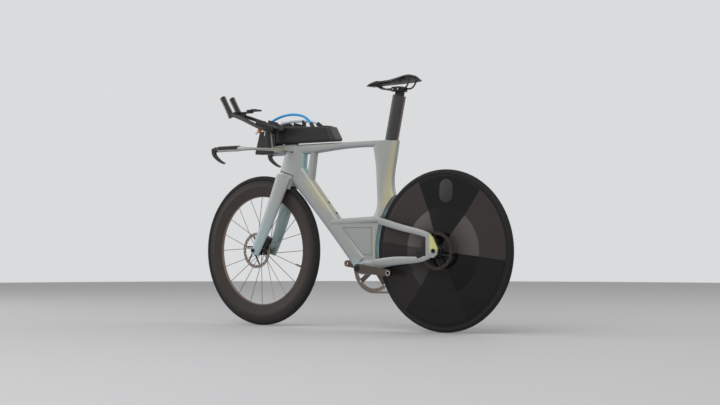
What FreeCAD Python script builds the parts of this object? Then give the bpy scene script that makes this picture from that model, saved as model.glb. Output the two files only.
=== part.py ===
import FreeCAD, Part
import math
import os
import Sketcher
from FreeCAD import Placement, Rotation, Vector

# Time trial bicycle: aero frame, full cockpit, spoked front wheel and disc rear wheel.
# Millimetres and degrees, +X forward, +Y to the rider's left, +Z up.
# The origin lies on the ground, midway between the two wheel axles.

doc = FreeCAD.newDocument("time_trial_bicycle")
sheet = doc.addObject("Spreadsheet::Sheet", "sizes")

# Driving sizes: alias, value and what it measures
DRIVING_SIZES = (
    ("wheelbase", 1010, "rear axle to front axle"),
    ("tyre_radius", 338.5, "outer radius of both tyres"),
    ("tyre_width", 28, "width of both tyres"),
    ("tyre_wall", 3, "thickness of the tyre casing"),
    ("rim_edge_radius", 317, "radius of the rim edge that holds the tyre"),
    ("front_rim_depth", 74, "radial depth of the front rim"),
    ("rim_width", 29, "widest part of both rims"),
    ("rim_nose_radius", 9, "rounding of the front rim's inner edge"),
    ("rim_wall", 3, "wall of the hollow wheels"),
    ("spoke_count", 20, "spokes in the front wheel"),
    ("spoke_radius", 1.5, "radius of a spoke"),
    ("chainstay_length", 410, "crank centre to rear axle"),
    ("crank_drop", 75, "crank centre below the axles"),
    ("head_angle", 73, "steering axis to the ground"),
    ("fork_offset", 45, "front axle ahead of the steering axis"),
    ("fork_length", 380, "foot of the steering axis to the crown seam"),
    ("head_tube_length", 94, "crown seam to the top of the head tube"),
    ("seam_gap", 1.4, "gap at the crown seam and under the stem"),
    ("top_tube_level", 812, "height of the top tube's upper face"),
    ("seat_angle", 77.7, "seatpost axis to the ground"),
    ("seat_setback", 131, "seatpost axis behind the crank, at the top tube"),
    ("mid_beam_level", 470, "height of the beam above the storage box"),
    ("mid_beam_depth", 32, "height of that beam's section"),
    ("mid_beam_width", 52, "width of that beam"),
    ("box_width", 44, "width of the storage box panel"),
    ("wheel_clearance", 7, "gap between the tyre and the frame"),
    ("down_tube_width", 46, "width of the down tube"),
    ("down_tube_depth", 78, "depth of the down tube at its middle"),
    ("head_width", 54, "width of the head tube at its foot"),
    ("head_nose", 40, "head tube ahead of the steering axis"),
    ("head_tail", 104, "head tube behind the steering axis, at its foot"),
    ("top_tube_width", 38, "width of the top tube"),
    ("top_tube_depth", 27, "depth of the top tube near the seat"),
    ("seat_tube_width", 38, "width of the seat tube"),
    ("strut_depth", 32, "depth of the strut behind the head tube"),
    ("strut_width", 34, "width of that strut"),
    ("stay_gap", 18, "inner face of the stays from the middle, beside the tyre"),
    ("hub_space_rear", 142, "distance between the rear dropouts"),
    ("hub_space_front", 100, "distance between the fork tips"),
    ("dropout_thickness", 8, "thickness of the rear dropouts"),
    ("axle_radius", 6, "radius of both thru axles"),
    ("axle_fit", 0.06, "running clearance round shafts"),
    ("axle_head_radius", 9, "radius of the axle heads"),
    ("axle_head_length", 4, "thickness of the axle heads"),
    ("axle_socket_radius", 4, "round socket in each axle head"),
    ("axle_socket_depth", 14, "depth of that socket"),
    ("steerer_radius", 14.3, "radius of the fork's steerer"),
    ("lower_bearing_radius", 23.5, "outer radius of the lower headset bearing"),
    ("upper_bearing_radius", 20.9, "outer radius of the upper headset bearing"),
    ("headset_bearing_height", 8, "height of the headset bearings"),
    ("crown_radius", 52, "room that the fork crown sweeps behind the axis"),
    ("crown_clearance", 6, "frame outside the room that the crown sweeps"),
    ("blade_depth_crown", 80, "depth of a fork blade at the crown"),
    ("blade_depth_tip", 50, "depth of a fork blade at the tip"),
    ("blade_width_crown", 24, "width of a fork blade at the crown"),
    ("blade_width_tip", 15, "width of a fork blade at the tip"),
    ("shell_width", 82, "length of the bottom bracket shell"),
    ("shell_radius", 27, "outer radius of the bottom bracket shell"),
    ("crank_bearing_radius", 21, "outer radius of the crank bearings"),
    ("crank_bearing_width", 8, "width of each crank bearing"),
    ("spindle_radius", 14.5, "radius of the crank spindle"),
    ("crank_length", 165, "spindle to pedal hole"),
    ("crank_angle", 6.5, "right arm above the horizontal, pointing forward"),
    ("crank_eye_radius", 19, "rounding of the arm round the spindle"),
    ("crank_tip_radius", 14, "rounding of the arm round the pedal hole"),
    ("crank_thickness", 13, "thickness of the arms"),
    ("crank_face", 73, "outer face of the arms from the middle"),
    ("pedal_hole_radius", 7.14, "radius of the pedal threads"),
    ("chain_line", 45.5, "middle of the chain from the middle of the bicycle"),
    ("chain_pitch", 12.7, "distance between the chain's pins"),
    ("roller_radius", 3.85, "radius of the chain's rollers"),
    ("roller_play", 0.22, "room round a roller in its tooth gap"),
    ("tooth_height", 3.2, "tooth tips outside the pitch circle"),
    ("tooth_flank", 1.2, "lean of a tooth's flank from its root to its tip"),
    ("pulley_flank", 2.8, "the same lean on the derailleur pulleys"),
    ("ring_teeth", 52, "teeth on the chainring"),
    ("ring_thickness", 1.6, "thickness of the toothed wheels"),
    ("ring_band", 20, "radial depth of the chainring's band"),
    ("spider_thickness", 6, "thickness of the spider"),
    ("spider_arm_width", 20, "width of each spider arm"),
    ("cog_step", 3.7, "distance between neighbouring cogs"),
    ("freehub_radius", 17, "radius of the freehub body"),
    ("pulley_teeth", 12, "teeth on each derailleur pulley"),
    ("pulley_thickness", 1.5, "thickness of the pulleys"),
    ("pulley_pin_radius", 2.5, "radius of the pulley pins"),
    ("guide_drop", 94, "guide pulley below the rear axle"),
    ("guide_lead", 8, "guide pulley ahead of the rear axle"),
    ("cage_length", 76, "distance between the two pulleys"),
    ("cage_plate", 2, "thickness of the cage plates"),
    ("cage_gap", 9, "clear width inside the cage"),
    ("rotor_radius", 80, "radius of both brake rotors"),
    ("rotor_thickness", 1.8, "thickness of both rotors"),
    ("rotor_band", 14, "radial width of the braking band"),
    ("rotor_inset_rear", 15.3, "rear rotor inside the left dropout"),
    ("rotor_inset_front", 10.5, "front rotor inside the left fork tip"),
    ("pad_gap", 0.4, "gap between a brake pad and its rotor"),
    ("pad_thickness", 2.4, "thickness of a brake pad"),
    ("caliper_length", 56, "length of both calipers"),
    ("caliper_height", 34, "height of both calipers"),
    ("caliper_width", 27, "width of both calipers"),
    ("post_depth", 66, "fore and aft depth of the seatpost"),
    ("post_width", 25, "width of the seatpost"),
    ("post_length", 300, "length of the seatpost"),
    ("post_rise", 190, "seatpost above the top tube"),
    ("socket_depth", 172, "depth of the seatpost socket"),
    ("slide_fit", 0.35, "clearance round the seatpost in its socket"),
    ("wedge_height", 44, "height of the seat clamp wedge"),
    ("wedge_width", 14, "width of the seat clamp wedge"),
    ("clamp_bolt_radius", 2.5, "radius of the seat clamp bolts"),
    ("clamp_bolt_head", 4, "radius of the seat clamp bolt heads"),
    ("saddle_length", 240, "length of the saddle"),
    ("saddle_width", 136, "width of the saddle at its tail"),
    ("saddle_level", 1044, "height of the saddle's lower edge at the nose"),
    ("saddle_crown", 16, "swell of the saddle pad above its edge"),
    ("shell_thickness", 6, "thickness of the saddle shell"),
    ("rail_radius", 3.5, "radius of the saddle rails"),
    ("rail_spread", 22, "saddle rail from the middle, in the clamp"),
    ("rail_drop", 18, "rails in the clamp below the saddle edge"),
    ("rail_fit", 0.08, "running clearance round the rails"),
    ("clamp_length", 40, "length of the saddle clamp along the rails"),
    ("stem_reach", 105, "front of the stem ahead of the steering axis"),
    ("stem_width", 48, "width of the stem"),
    ("stem_depth", 34, "depth of the stem"),
    ("stem_rounding", 8, "rounding of the stem's edges"),
    ("stem_turn_radius", 31, "round rear of the stem about the steering axis"),
    ("bar_half_width", 190, "bar ends from the middle"),
    ("bar_level", 792, "height of the base bar"),
    ("bar_sweep", 92, "bar ends ahead of the bar's root"),
    ("bar_root_reach", 50, "bar root ahead of the steering axis"),
    ("bar_root_chord", 56, "fore and aft depth of the wing at its root"),
    ("bar_thickness", 13, "thickness of the wing"),
    ("bar_end_length", 144, "straight length of the bar ends"),
    ("bar_end_width", 27, "width of the bar ends"),
    ("bar_end_height", 24, "height of the bar ends"),
    ("grip_wall", 2, "thickness of the bar end grips"),
    ("grip_length", 118, "length of the bar end grips"),
    ("lever_thickness", 10, "thickness of the brake levers"),
    ("lever_play", 0.6, "side play of the levers in their slots"),
    ("lever_pin_radius", 2.5, "radius of the lever pins"),
    ("lever_drop", 58, "lever tip below its pin"),
    ("lever_back", 44, "lever tip behind its pin"),
    ("riser_spread", 70, "arm risers from the middle"),
    ("riser_depth", 40, "fore and aft depth of the risers"),
    ("riser_width", 22, "width of the risers"),
    ("cup_spread", 88, "arm cups from the middle"),
    ("cup_length", 102, "length of the arm cups"),
    ("cup_width", 84, "width of the arm cups"),
    ("cup_height", 34, "height of the arm cup walls"),
    ("cup_wall", 4, "thickness of the arm cups"),
    ("cup_corner", 18, "rounding of the arm cups' lower edges"),
    ("cup_rear_height", 20, "height of the arm cup walls at their rear"),
    ("cup_tilt", 14, "rise of the arm cups towards the front"),
    ("cup_level", 868, "height of the cup's underside at its rear"),
    ("arm_pad_height", 14, "height of the arm pads at their crown"),
    ("arm_pad_gap", 0.3, "room round the arm pads in their cups"),
    ("riser_bolt_radius", 3, "radius of the riser bolts"),
    ("extension_width", 30, "width of the extensions"),
    ("extension_depth", 16, "depth of the extensions"),
    ("hand_spread", 31, "hand grips from the middle"),
    ("hand_reach", 727, "top of the hand grips ahead of the origin"),
    ("hand_level", 1046, "height of the top of the hand grips"),
    ("hand_length", 106, "length of the hand grips"),
    ("hand_angle", 58, "slope of the hand grips"),
    ("hand_depth", 28, "fore and aft depth of the hand grips"),
    ("hand_width", 24, "width of the hand grips"),
    ("mount_reach", 640, "rear of the computer mount's bridge ahead of the origin"),
    ("mount_level", 976, "height of the top of that bridge"),
    ("mount_arm", 66, "length of the computer mount's arm"),
    ("mount_plate", 62, "length of the computer mount's plate"),
    ("mount_width", 46, "width of that plate"),
    ("button_radius", 5, "radius of the shift buttons"),
    ("button_rise", 2.5, "shift button above the grip's end"),
    ("button_length", 8, "length of the shift buttons"),
    ("button_play", 0.3, "room round the shift buttons"),
    ("store_length", 350, "length of the storage box"),
    ("store_tail", 50, "rear foot of the storage box ahead of the origin"),
    ("store_level", 818, "height of the storage box's underside"),
    ("store_width", 60, "width of the storage box"),
    ("store_rear_height", 65, "height of the storage box at its rear"),
    ("store_front_height", 79, "height of the storage box at its front"),
    ("store_rounding", 9, "rounding of the storage box's edges"),
    ("filler_radius", 13, "radius of the filler neck"),
    ("filler_depth", 22, "depth of the filler neck"),
    ("cap_length", 48, "length of the filler cap"),
    ("cap_width", 40, "width of the filler cap"),
    ("cap_height", 4, "thickness of the filler cap"),
    ("nose_length", 131, "length of the nose tank"),
    ("nose_level", 775, "height of the nose tank's lowest edge"),
    ("nose_width", 56, "width of the nose tank"),
    ("drink_hose_radius", 5.5, "radius of the drinking hose"),
    ("refill_hose_radius", 6.5, "radius of the refill hose"),
    ("hose_wall", 3, "wall of the hose fittings"),
    ("fitting_height", 12, "height of the hose fittings"),
    ("cover_thickness", 2, "thickness of the storage cover"),
    ("cover_gap", 1.0, "gap round the storage cover"),
    ("cover_rounding", 10, "rounding of the cover's corners"),
    ("boss_spacing", 64, "distance between the bottle bosses"),
    ("boss_radius", 6, "radius of a bottle boss"),
    ("boss_hole_radius", 2.5, "radius of the bottle boss threads"),
    ("boss_depth", 14, "depth of the bottle boss threads"),
    ("hanger_thickness", 5, "thickness of the derailleur hanger"),
)
for row, (alias, default, meaning) in enumerate(DRIVING_SIZES, start=1):
    sheet.set(f"A{row}", meaning)
    sheet.set(f"B{row}", str(default))
    sheet.setAlias(f"B{row}", alias)
doc.recompute()


class Size:
    """A sheet value or a sum of them: its text binds a property, its number builds a shape."""

    def __init__(self, text, number):
        self.text = text
        self.number = number

    def join(self, sign, other, number):
        return Size(f"({self.text} {sign} {other.text})", number)

    def __add__(self, other):
        other = as_size(other)
        return self.join("+", other, self.number + other.number)

    def __sub__(self, other):
        other = as_size(other)
        return self.join("-", other, self.number - other.number)

    def __mul__(self, other):
        other = as_size(other)
        return self.join("*", other, self.number * other.number)

    def __truediv__(self, other):
        other = as_size(other)
        return self.join("/", other, self.number / other.number)

    def __neg__(self):
        return Size(f"(0 - {self.text})", -self.number)

    __radd__ = __add__
    __rmul__ = __mul__

    def __rsub__(self, other):
        return as_size(other) - self


def as_size(amount):
    if isinstance(amount, Size):
        return amount
    return Size(f"({float(amount)})", float(amount))


def root(amount):
    return Size(f"sqrt({amount.text})", math.sqrt(amount.number))


class BoundSizes:
    """Gives a sheet value by its alias, ready to bind."""

    def __getattr__(self, alias):
        return Size(f"sizes.{alias}", float(getattr(sheet, alias)))


class PlainSizes:
    """Gives a sheet value by its alias, as a number."""

    def __getattr__(self, alias):
        return float(getattr(sheet, alias))


dim = BoundSizes()
num = PlainSizes()
nodes = {}


# Anchors of the bicycle

REAR_AXLE = Vector(-num.wheelbase / 2, 0, num.tyre_radius)
FRONT_AXLE = Vector(num.wheelbase / 2, 0, num.tyre_radius)
CRANK_REACH = math.sqrt(num.chainstay_length ** 2 - num.crank_drop ** 2)
CRANK = REAR_AXLE + Vector(CRANK_REACH, 0, -num.crank_drop)
HEAD_SLOPE = math.radians(num.head_angle)
STEER_UP = Vector(-math.cos(HEAD_SLOPE), 0, math.sin(HEAD_SLOPE))
STEER_FORWARD = Vector(math.sin(HEAD_SLOPE), 0, math.cos(HEAD_SLOPE))
STEER_FOOT = FRONT_AXLE - STEER_FORWARD * num.fork_offset
HEAD_TOP = num.fork_length + num.head_tube_length
SEAT_SLOPE = math.radians(num.seat_angle)
SEAT_UP = Vector(-math.cos(SEAT_SLOPE), 0, math.sin(SEAT_SLOPE))
SEAT_FORWARD = Vector(math.sin(SEAT_SLOPE), 0, math.cos(SEAT_SLOPE))
SEAT_TOP = Vector(CRANK.x - num.seat_setback, 0, num.top_tube_level)
ACROSS = Vector(0, 1, 0)


def steer(rise, lead, left=0):
    """A point measured along the steering axis from its foot, ahead of it and to the left."""
    return STEER_FOOT + STEER_UP * rise + STEER_FORWARD * lead + ACROSS * left


def steer_at_level(level):
    """The point of the steering axis at a height above the ground."""
    return STEER_FOOT + STEER_UP * ((level - STEER_FOOT.z) / STEER_UP.z)


def seat(rise, lead=0, left=0):
    """A point measured along the seatpost axis from the top tube's upper face."""
    return SEAT_TOP + SEAT_UP * rise + SEAT_FORWARD * lead + ACROSS * left


# Helpers that make and name objects

def keep(thing, label):
    thing.Label = label
    nodes[label] = thing
    return thing


def bind(thing, **sizes):
    for name, amount in sizes.items():
        thing.setExpression(name, as_size(amount).text)
    return thing


def shape_object(label, shape):
    thing = doc.addObject("Part::Feature", label)
    thing.Shape = shape
    return thing


def placed(origin, direction):
    return Placement(origin, Rotation(Vector(0, 0, 1), direction))


def cylinder(name, radius, length, origin, direction):
    thing = doc.addObject("Part::Cylinder", name)
    bind(thing, Radius=radius, Height=length)
    thing.Placement = placed(origin, direction)
    return thing


def block(name, length, width, height, placement):
    thing = doc.addObject("Part::Box", name)
    bind(thing, Length=length, Width=width, Height=height)
    thing.Placement = placement
    return thing


def cut(name, base, *tools):
    tool = tools[0]
    if len(tools) > 1:
        tool = fuse(name + "_tools", *tools)
    thing = doc.addObject("Part::Cut", name)
    thing.Base = base
    thing.Tool = tool
    return thing


def fuse(name, *shapes):
    thing = doc.addObject("Part::MultiFuse", name)
    thing.Shapes = list(shapes)
    return thing


def group(name, *members):
    thing = doc.addObject("Part::Compound", name)
    thing.Links = list(members)
    return thing


def arc_centre(start, end, radius, turn):
    """Centre of the short arc from start to end; turn is 1 to the left and -1 to the right."""
    along = end - start
    half = along.Length / 2
    side = Vector(-along.y, along.x, 0).normalize() * turn
    rise = math.sqrt(max(radius * radius - half * half, 0))
    return start + along / 2 + side * rise


def outline(sketch, corners, arcs):
    """Draw a closed outline through bound corners; arcs gives radius and turn by side number."""
    count = len(corners)
    spots = [Vector(as_size(x).number, as_size(y).number, 0) for x, y in corners]
    ends = []
    for index in range(count):
        start = spots[index]
        end = spots[(index + 1) % count]
        if index in arcs:
            radius, turn = arcs[index]
            centre = arc_centre(start, end, radius.number, turn)
            first, last = (start, end) if turn > 0 else (end, start)
            angles = [math.atan2(spot.y - centre.y, spot.x - centre.x) for spot in (first, last)]
            circle = Part.Circle(centre, Vector(0, 0, 1), radius.number)
            sketch.addGeometry(Part.ArcOfCircle(circle, *angles), False)
            ends.append((1, 2) if turn > 0 else (2, 1))
        else:
            sketch.addGeometry(Part.LineSegment(start, end), False)
            ends.append((1, 2))
    for index in range(count):
        after = (index + 1) % count
        sketch.addConstraint(Sketcher.Constraint("Coincident", index, ends[index][1], after, ends[after][0]))
    for index, corner in enumerate(corners):
        for kind, amount in zip(("DistanceX", "DistanceY"), corner):
            amount = as_size(amount)
            rule = Sketcher.Constraint(kind, -1, 1, index, ends[index][0], amount.number)
            sketch.setExpression(f"Constraints[{sketch.addConstraint(rule)}]", amount.text)
        if index in arcs:
            rule = Sketcher.Constraint("Radius", index, arcs[index][0].number)
            sketch.setExpression(f"Constraints[{sketch.addConstraint(rule)}]", arcs[index][0].text)


def sketched_body(label, plane, corners, arcs=None):
    body = doc.addObject("PartDesign::Body", label)
    sketch = body.newObject("Sketcher::SketchObject", label + "_outline")
    support = [feature for feature in body.Origin.OriginFeatures if feature.Role == plane][0]
    sketch.AttachmentSupport = [(support, "")]
    sketch.MapMode = "FlatFace"
    outline(sketch, corners, arcs or {})
    return body, sketch


def spun(label, corners, centre, arcs=None):
    """A body turned about the left-right axis; corners are (radius, left)."""
    body, sketch = sketched_body(label, "XY_Plane", corners, arcs)
    turning = body.newObject("PartDesign::Revolution", label + "_turned")
    turning.Profile = sketch
    turning.ReferenceAxis = (sketch, ["V_Axis"])
    turning.Angle = 360
    body.Tip = turning
    body.Placement = Placement(centre, Rotation())
    return body


def padded(label, plane, corners, length, placement, arcs=None):
    """A body of one outline and a thickness; on XZ_Plane it grows to the right, on YZ_Plane forward."""
    body, sketch = sketched_body(label, plane, corners, arcs)
    pad = body.newObject("PartDesign::Pad", label + "_pad")
    pad.Profile = sketch
    bind(pad, Length=length)
    body.Tip = pad
    body.Placement = placement
    return body


# Freeform tubes

SECTION_POINTS = 24


def section(centre, chord, span, depth, width, square=2.6, taper=0.0):
    """A closed smooth section: depth along chord, width along span, narrowed by taper towards +chord."""
    points = []
    for index in range(SECTION_POINTS):
        angle = 2 * math.pi * index / SECTION_POINTS
        cosine = math.cos(angle)
        sine = math.sin(angle)
        along = math.copysign(abs(cosine) ** (2 / square), cosine)
        aside = math.copysign(abs(sine) ** (2 / square), sine) * (1 - taper * along)
        points.append(centre + chord * (along * depth / 2) + span * (aside * width / 2))
    curve = Part.BSplineCurve()
    curve.interpolate(Points=points, PeriodicFlag=True)
    return Part.Wire(curve.toShape())


def loft(*wires):
    return Part.makeLoft(list(wires), True, False)


def unit(vector):
    return Vector(vector).normalize()


def tube_between(first, last, stations, square=2.6, taper=0.0):
    """A straight tube in the bicycle's plane; stations are (share, depth, width)."""
    along = unit(last - first)
    chord = unit(ACROSS.cross(along))
    wires = []
    for share, depth, width in stations:
        wires.append(section(first + (last - first) * share, chord, ACROSS, depth, width, square, taper))
    return loft(*wires)


def bent_tube(points, sizes, square=2.4):
    """A tube through points, each section square to the route; sizes are (depth, width)."""
    wires = []
    for index, (point, (depth, width)) in enumerate(zip(points, sizes)):
        before = points[max(index - 1, 0)]
        after = points[min(index + 1, len(points) - 1)]
        along = unit(after - before)
        span = unit(along.cross(Vector(0, 0, 1)))
        chord = unit(along.cross(span))
        wires.append(section(point, chord, span, depth, width, square))
    return loft(*wires)


def round_bar(start, end, radius):
    along = end - start
    return Part.makeCylinder(radius, along.Length, start, unit(along))


def mirrored(shape):
    return shape.mirror(Vector(0, 0, 0), ACROSS)


def pair(shape):
    return Part.makeCompound([shape, mirrored(shape)])


ARC_SHARE = 0.45


def hose(name, points, radius):
    """A round hose of straight runs joined by tangent arcs as large as the runs allow."""
    edges = []
    radii = []
    last = points[0]
    length = 0
    for before, corner, after in zip(points, points[1:], points[2:]):
        arriving = unit(corner - before)
        leaving = unit(after - corner)
        turn = arriving.getAngle(leaving)
        reach = ARC_SHARE * min((corner - before).Length, (after - corner).Length)
        bend = reach / math.tan(turn / 2)
        start = corner - arriving * reach
        end = corner + leaving * reach
        middle = corner + unit(leaving - arriving) * (bend / math.cos(turn / 2) - bend)
        edges.append(Part.LineSegment(last, start).toShape())
        edges.append(Part.Arc(start, middle, end).toShape())
        length += (start - last).Length + bend * turn
        radii.append(round(bend))
        last = end
    edges.append(Part.LineSegment(last, points[-1]).toShape())
    length += (points[-1] - last).Length
    ring = Part.Wire(Part.Circle(points[0], unit(points[1] - points[0]), radius).toShape())
    tube = Part.Wire(edges).makePipeShell([ring], True, False)
    share = tube.Volume / (math.pi * radius * radius * length)
    print(f"{name}: length {length:.1f}, bend radii {radii}, volume share {share:.4f}")
    return tube


# Frame

WHEEL_ROOM_RADIUS = num.tyre_radius + num.wheel_clearance
ROOM = 400


def down_tube_axis():
    low = CRANK + Vector(27, 0, 25)
    high = steer(num.fork_length, -num.head_tail + 22)
    return low, high


def head_tube():
    foot_middle = (num.head_nose - num.head_tail) / 2
    foot = section(steer(num.fork_length, foot_middle), STEER_FORWARD, ACROSS,
                   num.head_nose + num.head_tail, num.head_width, 2.8, 0.1)
    crest_nose = num.head_nose - 8
    crest_tail = num.head_tail - 28
    crest = section(steer(HEAD_TOP + 36, (crest_nose - crest_tail) / 2), STEER_FORWARD, ACROSS,
                    crest_nose + crest_tail, num.head_width - 8, 2.8, 0.1)
    return loft(foot, crest)


def down_tube():
    low, high = down_tube_axis()
    return tube_between(low, high, (
        (0.0, num.down_tube_depth + 4, num.down_tube_width + 10),
        (0.45, num.down_tube_depth, num.down_tube_width),
        (1.12, num.down_tube_depth + 22, num.down_tube_width + 3)), 3.2)


def top_tube():
    front = steer_at_level(num.top_tube_level).x - 8
    rear = SEAT_TOP.x
    stations = ((0.0, 15, 8), (0.24, 15, 4), (0.48, 4, 0), (0.8, 0, -2), (1.0, 0, -2))
    wires = []
    for share, deeper, wider in stations:
        depth = num.top_tube_depth + deeper
        spot = Vector(front + (rear - front) * share, 0, num.top_tube_level - depth / 2)
        wires.append(section(spot, Vector(0, 0, 1), ACROSS, depth, num.top_tube_width + wider, 3.0))
    return loft(*wires)


def head_strut():
    high = steer(HEAD_TOP + 40, -num.head_tail - 17)
    low = steer(num.fork_length - 2, -num.head_tail - 36)
    return tube_between(low, high, ((0, num.strut_depth + 4, num.strut_width),
                                    (1, num.strut_depth, num.strut_width)))


def seat_tube():
    foot = num.top_tube_level - num.mid_beam_level
    stations = ((5, 97, 40, 2), (62, 75, 43, 0), (122, 54, 44, -2), (172, 40, 49, -2),
                (foot - 105, 22, 73, 0), (foot - 12, 30, 128, 6))
    wires = []
    for fall, front, rear, wider in stations:
        level = num.top_tube_level - fall
        axis = SEAT_TOP + SEAT_UP * (-fall / SEAT_UP.z)
        spot = Vector(axis.x + (front - rear) / 2, 0, level)
        wires.append(section(spot, Vector(1, 0, 0), ACROSS, front + rear, num.seat_tube_width + wider, 2.8))
    return loft(*wires)


def mid_beam_front():
    low, high = down_tube_axis()
    share = (num.mid_beam_level - 9 - low.z) / (high.z - low.z)
    return low + (high - low) * share


def mid_beam():
    front = mid_beam_front()
    rear = Vector(CRANK.x - 100, 0, num.mid_beam_level + 3)
    return tube_between(front, rear, ((0.0, num.mid_beam_depth, num.mid_beam_width - 2),
                                      (0.6, num.mid_beam_depth, num.mid_beam_width),
                                      (1.0, num.mid_beam_depth, num.mid_beam_width + 16)), 3.0)


def box_corners():
    """Side outline of the storage box panel: foot, nose, front top, rear top and rear foot."""
    front = mid_beam_front()
    return (CRANK + Vector(-8, 0, -num.shell_radius + 2), CRANK + Vector(40, 0, 32), front,
            Vector(CRANK.x - 80, 0, num.mid_beam_level), CRANK + Vector(-80, 0, 0),
            CRANK + Vector(-60, 0, -num.shell_radius + 2))


def plate(corners, left, width):
    """A flat plate of an outline in the bicycle's plane, from its left face to the right."""
    raised = [Vector(corner.x, left, corner.z) for corner in corners]
    face = Part.Face(Part.makePolygon(raised + raised[:1]))
    return face.extrude(Vector(0, -width, 0))


def chain_stay_root():
    """The wide foot of the box that carries the bottom bracket and both chain stays."""
    rear = CRANK + Vector(-76, 0, 14)
    front = CRANK + Vector(30, 0, 10)
    return tube_between(rear, front, ((0, 48, 76), (0.5, 54, 78), (1, 40, 56)), 3.4)


COVER_INSET = 15


def cover_corners():
    """Outline of the storage cover's recess, drawn in from the panel that is left in sight."""
    inset = COVER_INSET
    front = mid_beam_front()
    beam_foot = num.mid_beam_level - num.mid_beam_depth / 2
    depth = num.down_tube_depth / 2 / math.cos(math.radians(45))
    nose_top = Vector(front.x - depth * 0.75, 0, beam_foot - inset)
    tail = REAR_AXLE.x + WHEEL_ROOM_RADIUS + inset
    foot = CRANK.z + 42 + inset
    low, high = down_tube_axis()
    slope = (high.x - low.x) / (high.z - low.z)
    fall = nose_top.z - foot
    return (Vector(nose_top.x - inset, 0, nose_top.z), Vector(tail + 4, 0, nose_top.z),
            Vector(tail + 2, 0, foot), Vector(nose_top.x - inset - fall * slope, 0, foot))


def post_section(rise, spare):
    return section(seat(rise), SEAT_FORWARD, ACROSS, num.post_depth + 2 * spare,
                   num.post_width + 2 * spare, 2.5)


def wedge_place():
    """Rear face of the seatpost, a little below the top tube, where the clamp wedge sits."""
    return seat(-48, -num.post_depth / 2)


def boss_places():
    """Mouths of the two bottle bosses on the down tube's upper face, and the way they face."""
    low, high = down_tube_axis()
    along = unit(high - low)
    outward = unit(Vector(-along.z, 0, along.x))
    surface = low + (high - low) * 0.56 + outward * (num.down_tube_depth / 2 + 1.5)
    return [surface + along * (side * num.boss_spacing / 2) for side in (-1, 1)], outward


def make_main_frame():
    bosses, outward = boss_places()
    tubes = [head_tube(), down_tube(), top_tube(), head_strut(), seat_tube(), mid_beam()]
    tubes.append(plate(box_corners(), num.box_width / 2, num.box_width))
    tubes.append(chain_stay_root())
    tubes.append(Part.makeCylinder(num.shell_radius, num.shell_width,
                                   CRANK - ACROSS * (num.shell_width / 2), ACROSS))
    for mouth in bosses:
        tubes.append(Part.makeCylinder(num.boss_radius, num.boss_depth, mouth, outward * -1))
    whole = tubes[0].multiFuse(tubes[1:])
    crown_room = Part.makeCylinder(num.crown_radius + num.crown_clearance, ROOM,
                                   steer(num.fork_length - ROOM, 0), STEER_UP)
    stem_room = Part.makeCylinder(num.stem_turn_radius + 1, ROOM, steer(HEAD_TOP, 0), STEER_UP)
    stem_front = Part.makeBox(ROOM, ROOM, ROOM, Vector(0, -ROOM / 2, 0))
    stem_front.Placement = Placement(steer(HEAD_TOP, 0), Rotation(STEER_FORWARD, ACROSS, STEER_UP, "XYZ"))
    steerer_room = Part.makeCylinder(num.steerer_radius + 3, ROOM, steer(num.fork_length - 20, 0), STEER_UP)
    lower_seat = Part.makeCylinder(num.lower_bearing_radius, num.headset_bearing_height,
                                   steer(num.fork_length, 0), STEER_UP)
    upper_seat = Part.makeCylinder(num.upper_bearing_radius, num.headset_bearing_height,
                                   steer(HEAD_TOP - num.headset_bearing_height, 0), STEER_UP)
    spindle_room = Part.makeCylinder(num.spindle_radius + 3, ROOM, CRANK - ACROSS * (ROOM / 2), ACROSS)
    crank_seats = []
    for side in (-1, 1):
        start = CRANK + ACROSS * (side * num.shell_width / 2)
        crank_seats.append(Part.makeCylinder(num.crank_bearing_radius, num.crank_bearing_width,
                                             start, ACROSS * -side))
    socket = loft(post_section(-num.socket_depth, num.slide_fit), post_section(60, num.slide_fit))
    rooms = [wheel_room(), crown_room, stem_room, stem_front, steerer_room, lower_seat, upper_seat,
             spindle_room, socket, wedge_shape(0), clamp_bolts_shape(40), cover_shape(0)] + crank_seats
    for mouth in bosses:
        rooms.append(Part.makeCylinder(num.boss_hole_radius, num.boss_depth - 2, mouth, outward * -1))
    for room in rooms:
        whole = whole.cut(room)
    return shape_object("main_frame", whole)


def cover_shape(gap):
    corners = [Vector(corner.x, num.box_width / 2, corner.z) for corner in cover_corners()]
    face = Part.Face(Part.makePolygon(corners + corners[:1]))
    if gap:
        face = face.makeOffset2D(-gap)
    slab = face.extrude(Vector(0, -num.cover_thickness, 0))
    across = [edge for edge in slab.Edges if abs(edge.Length - num.cover_thickness) < 0.01]
    return slab.makeFillet(num.cover_rounding - gap, across)


WEDGE_REACH = 5.0
WEDGE_PLAY = 0.1


def wedge_shape(gap):
    spot = wedge_place()
    reach = WEDGE_REACH - num.slide_fit - gap
    tilted = Placement(spot + SEAT_FORWARD * -num.slide_fit, Rotation(SEAT_FORWARD, ACROSS, SEAT_UP, "XYZ"))
    wedge = Part.makeBox(reach, num.wedge_width - gap, num.wedge_height - gap,
                         Vector(-reach, -(num.wedge_width - gap) / 2, -(num.wedge_height - gap) / 2))
    wedge.Placement = tilted
    return wedge


CLAMP_BOLT_STEP = 26
CLAMP_HEAD_HEIGHT = 3
CLAMP_HEAD_SEAT = 7


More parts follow.
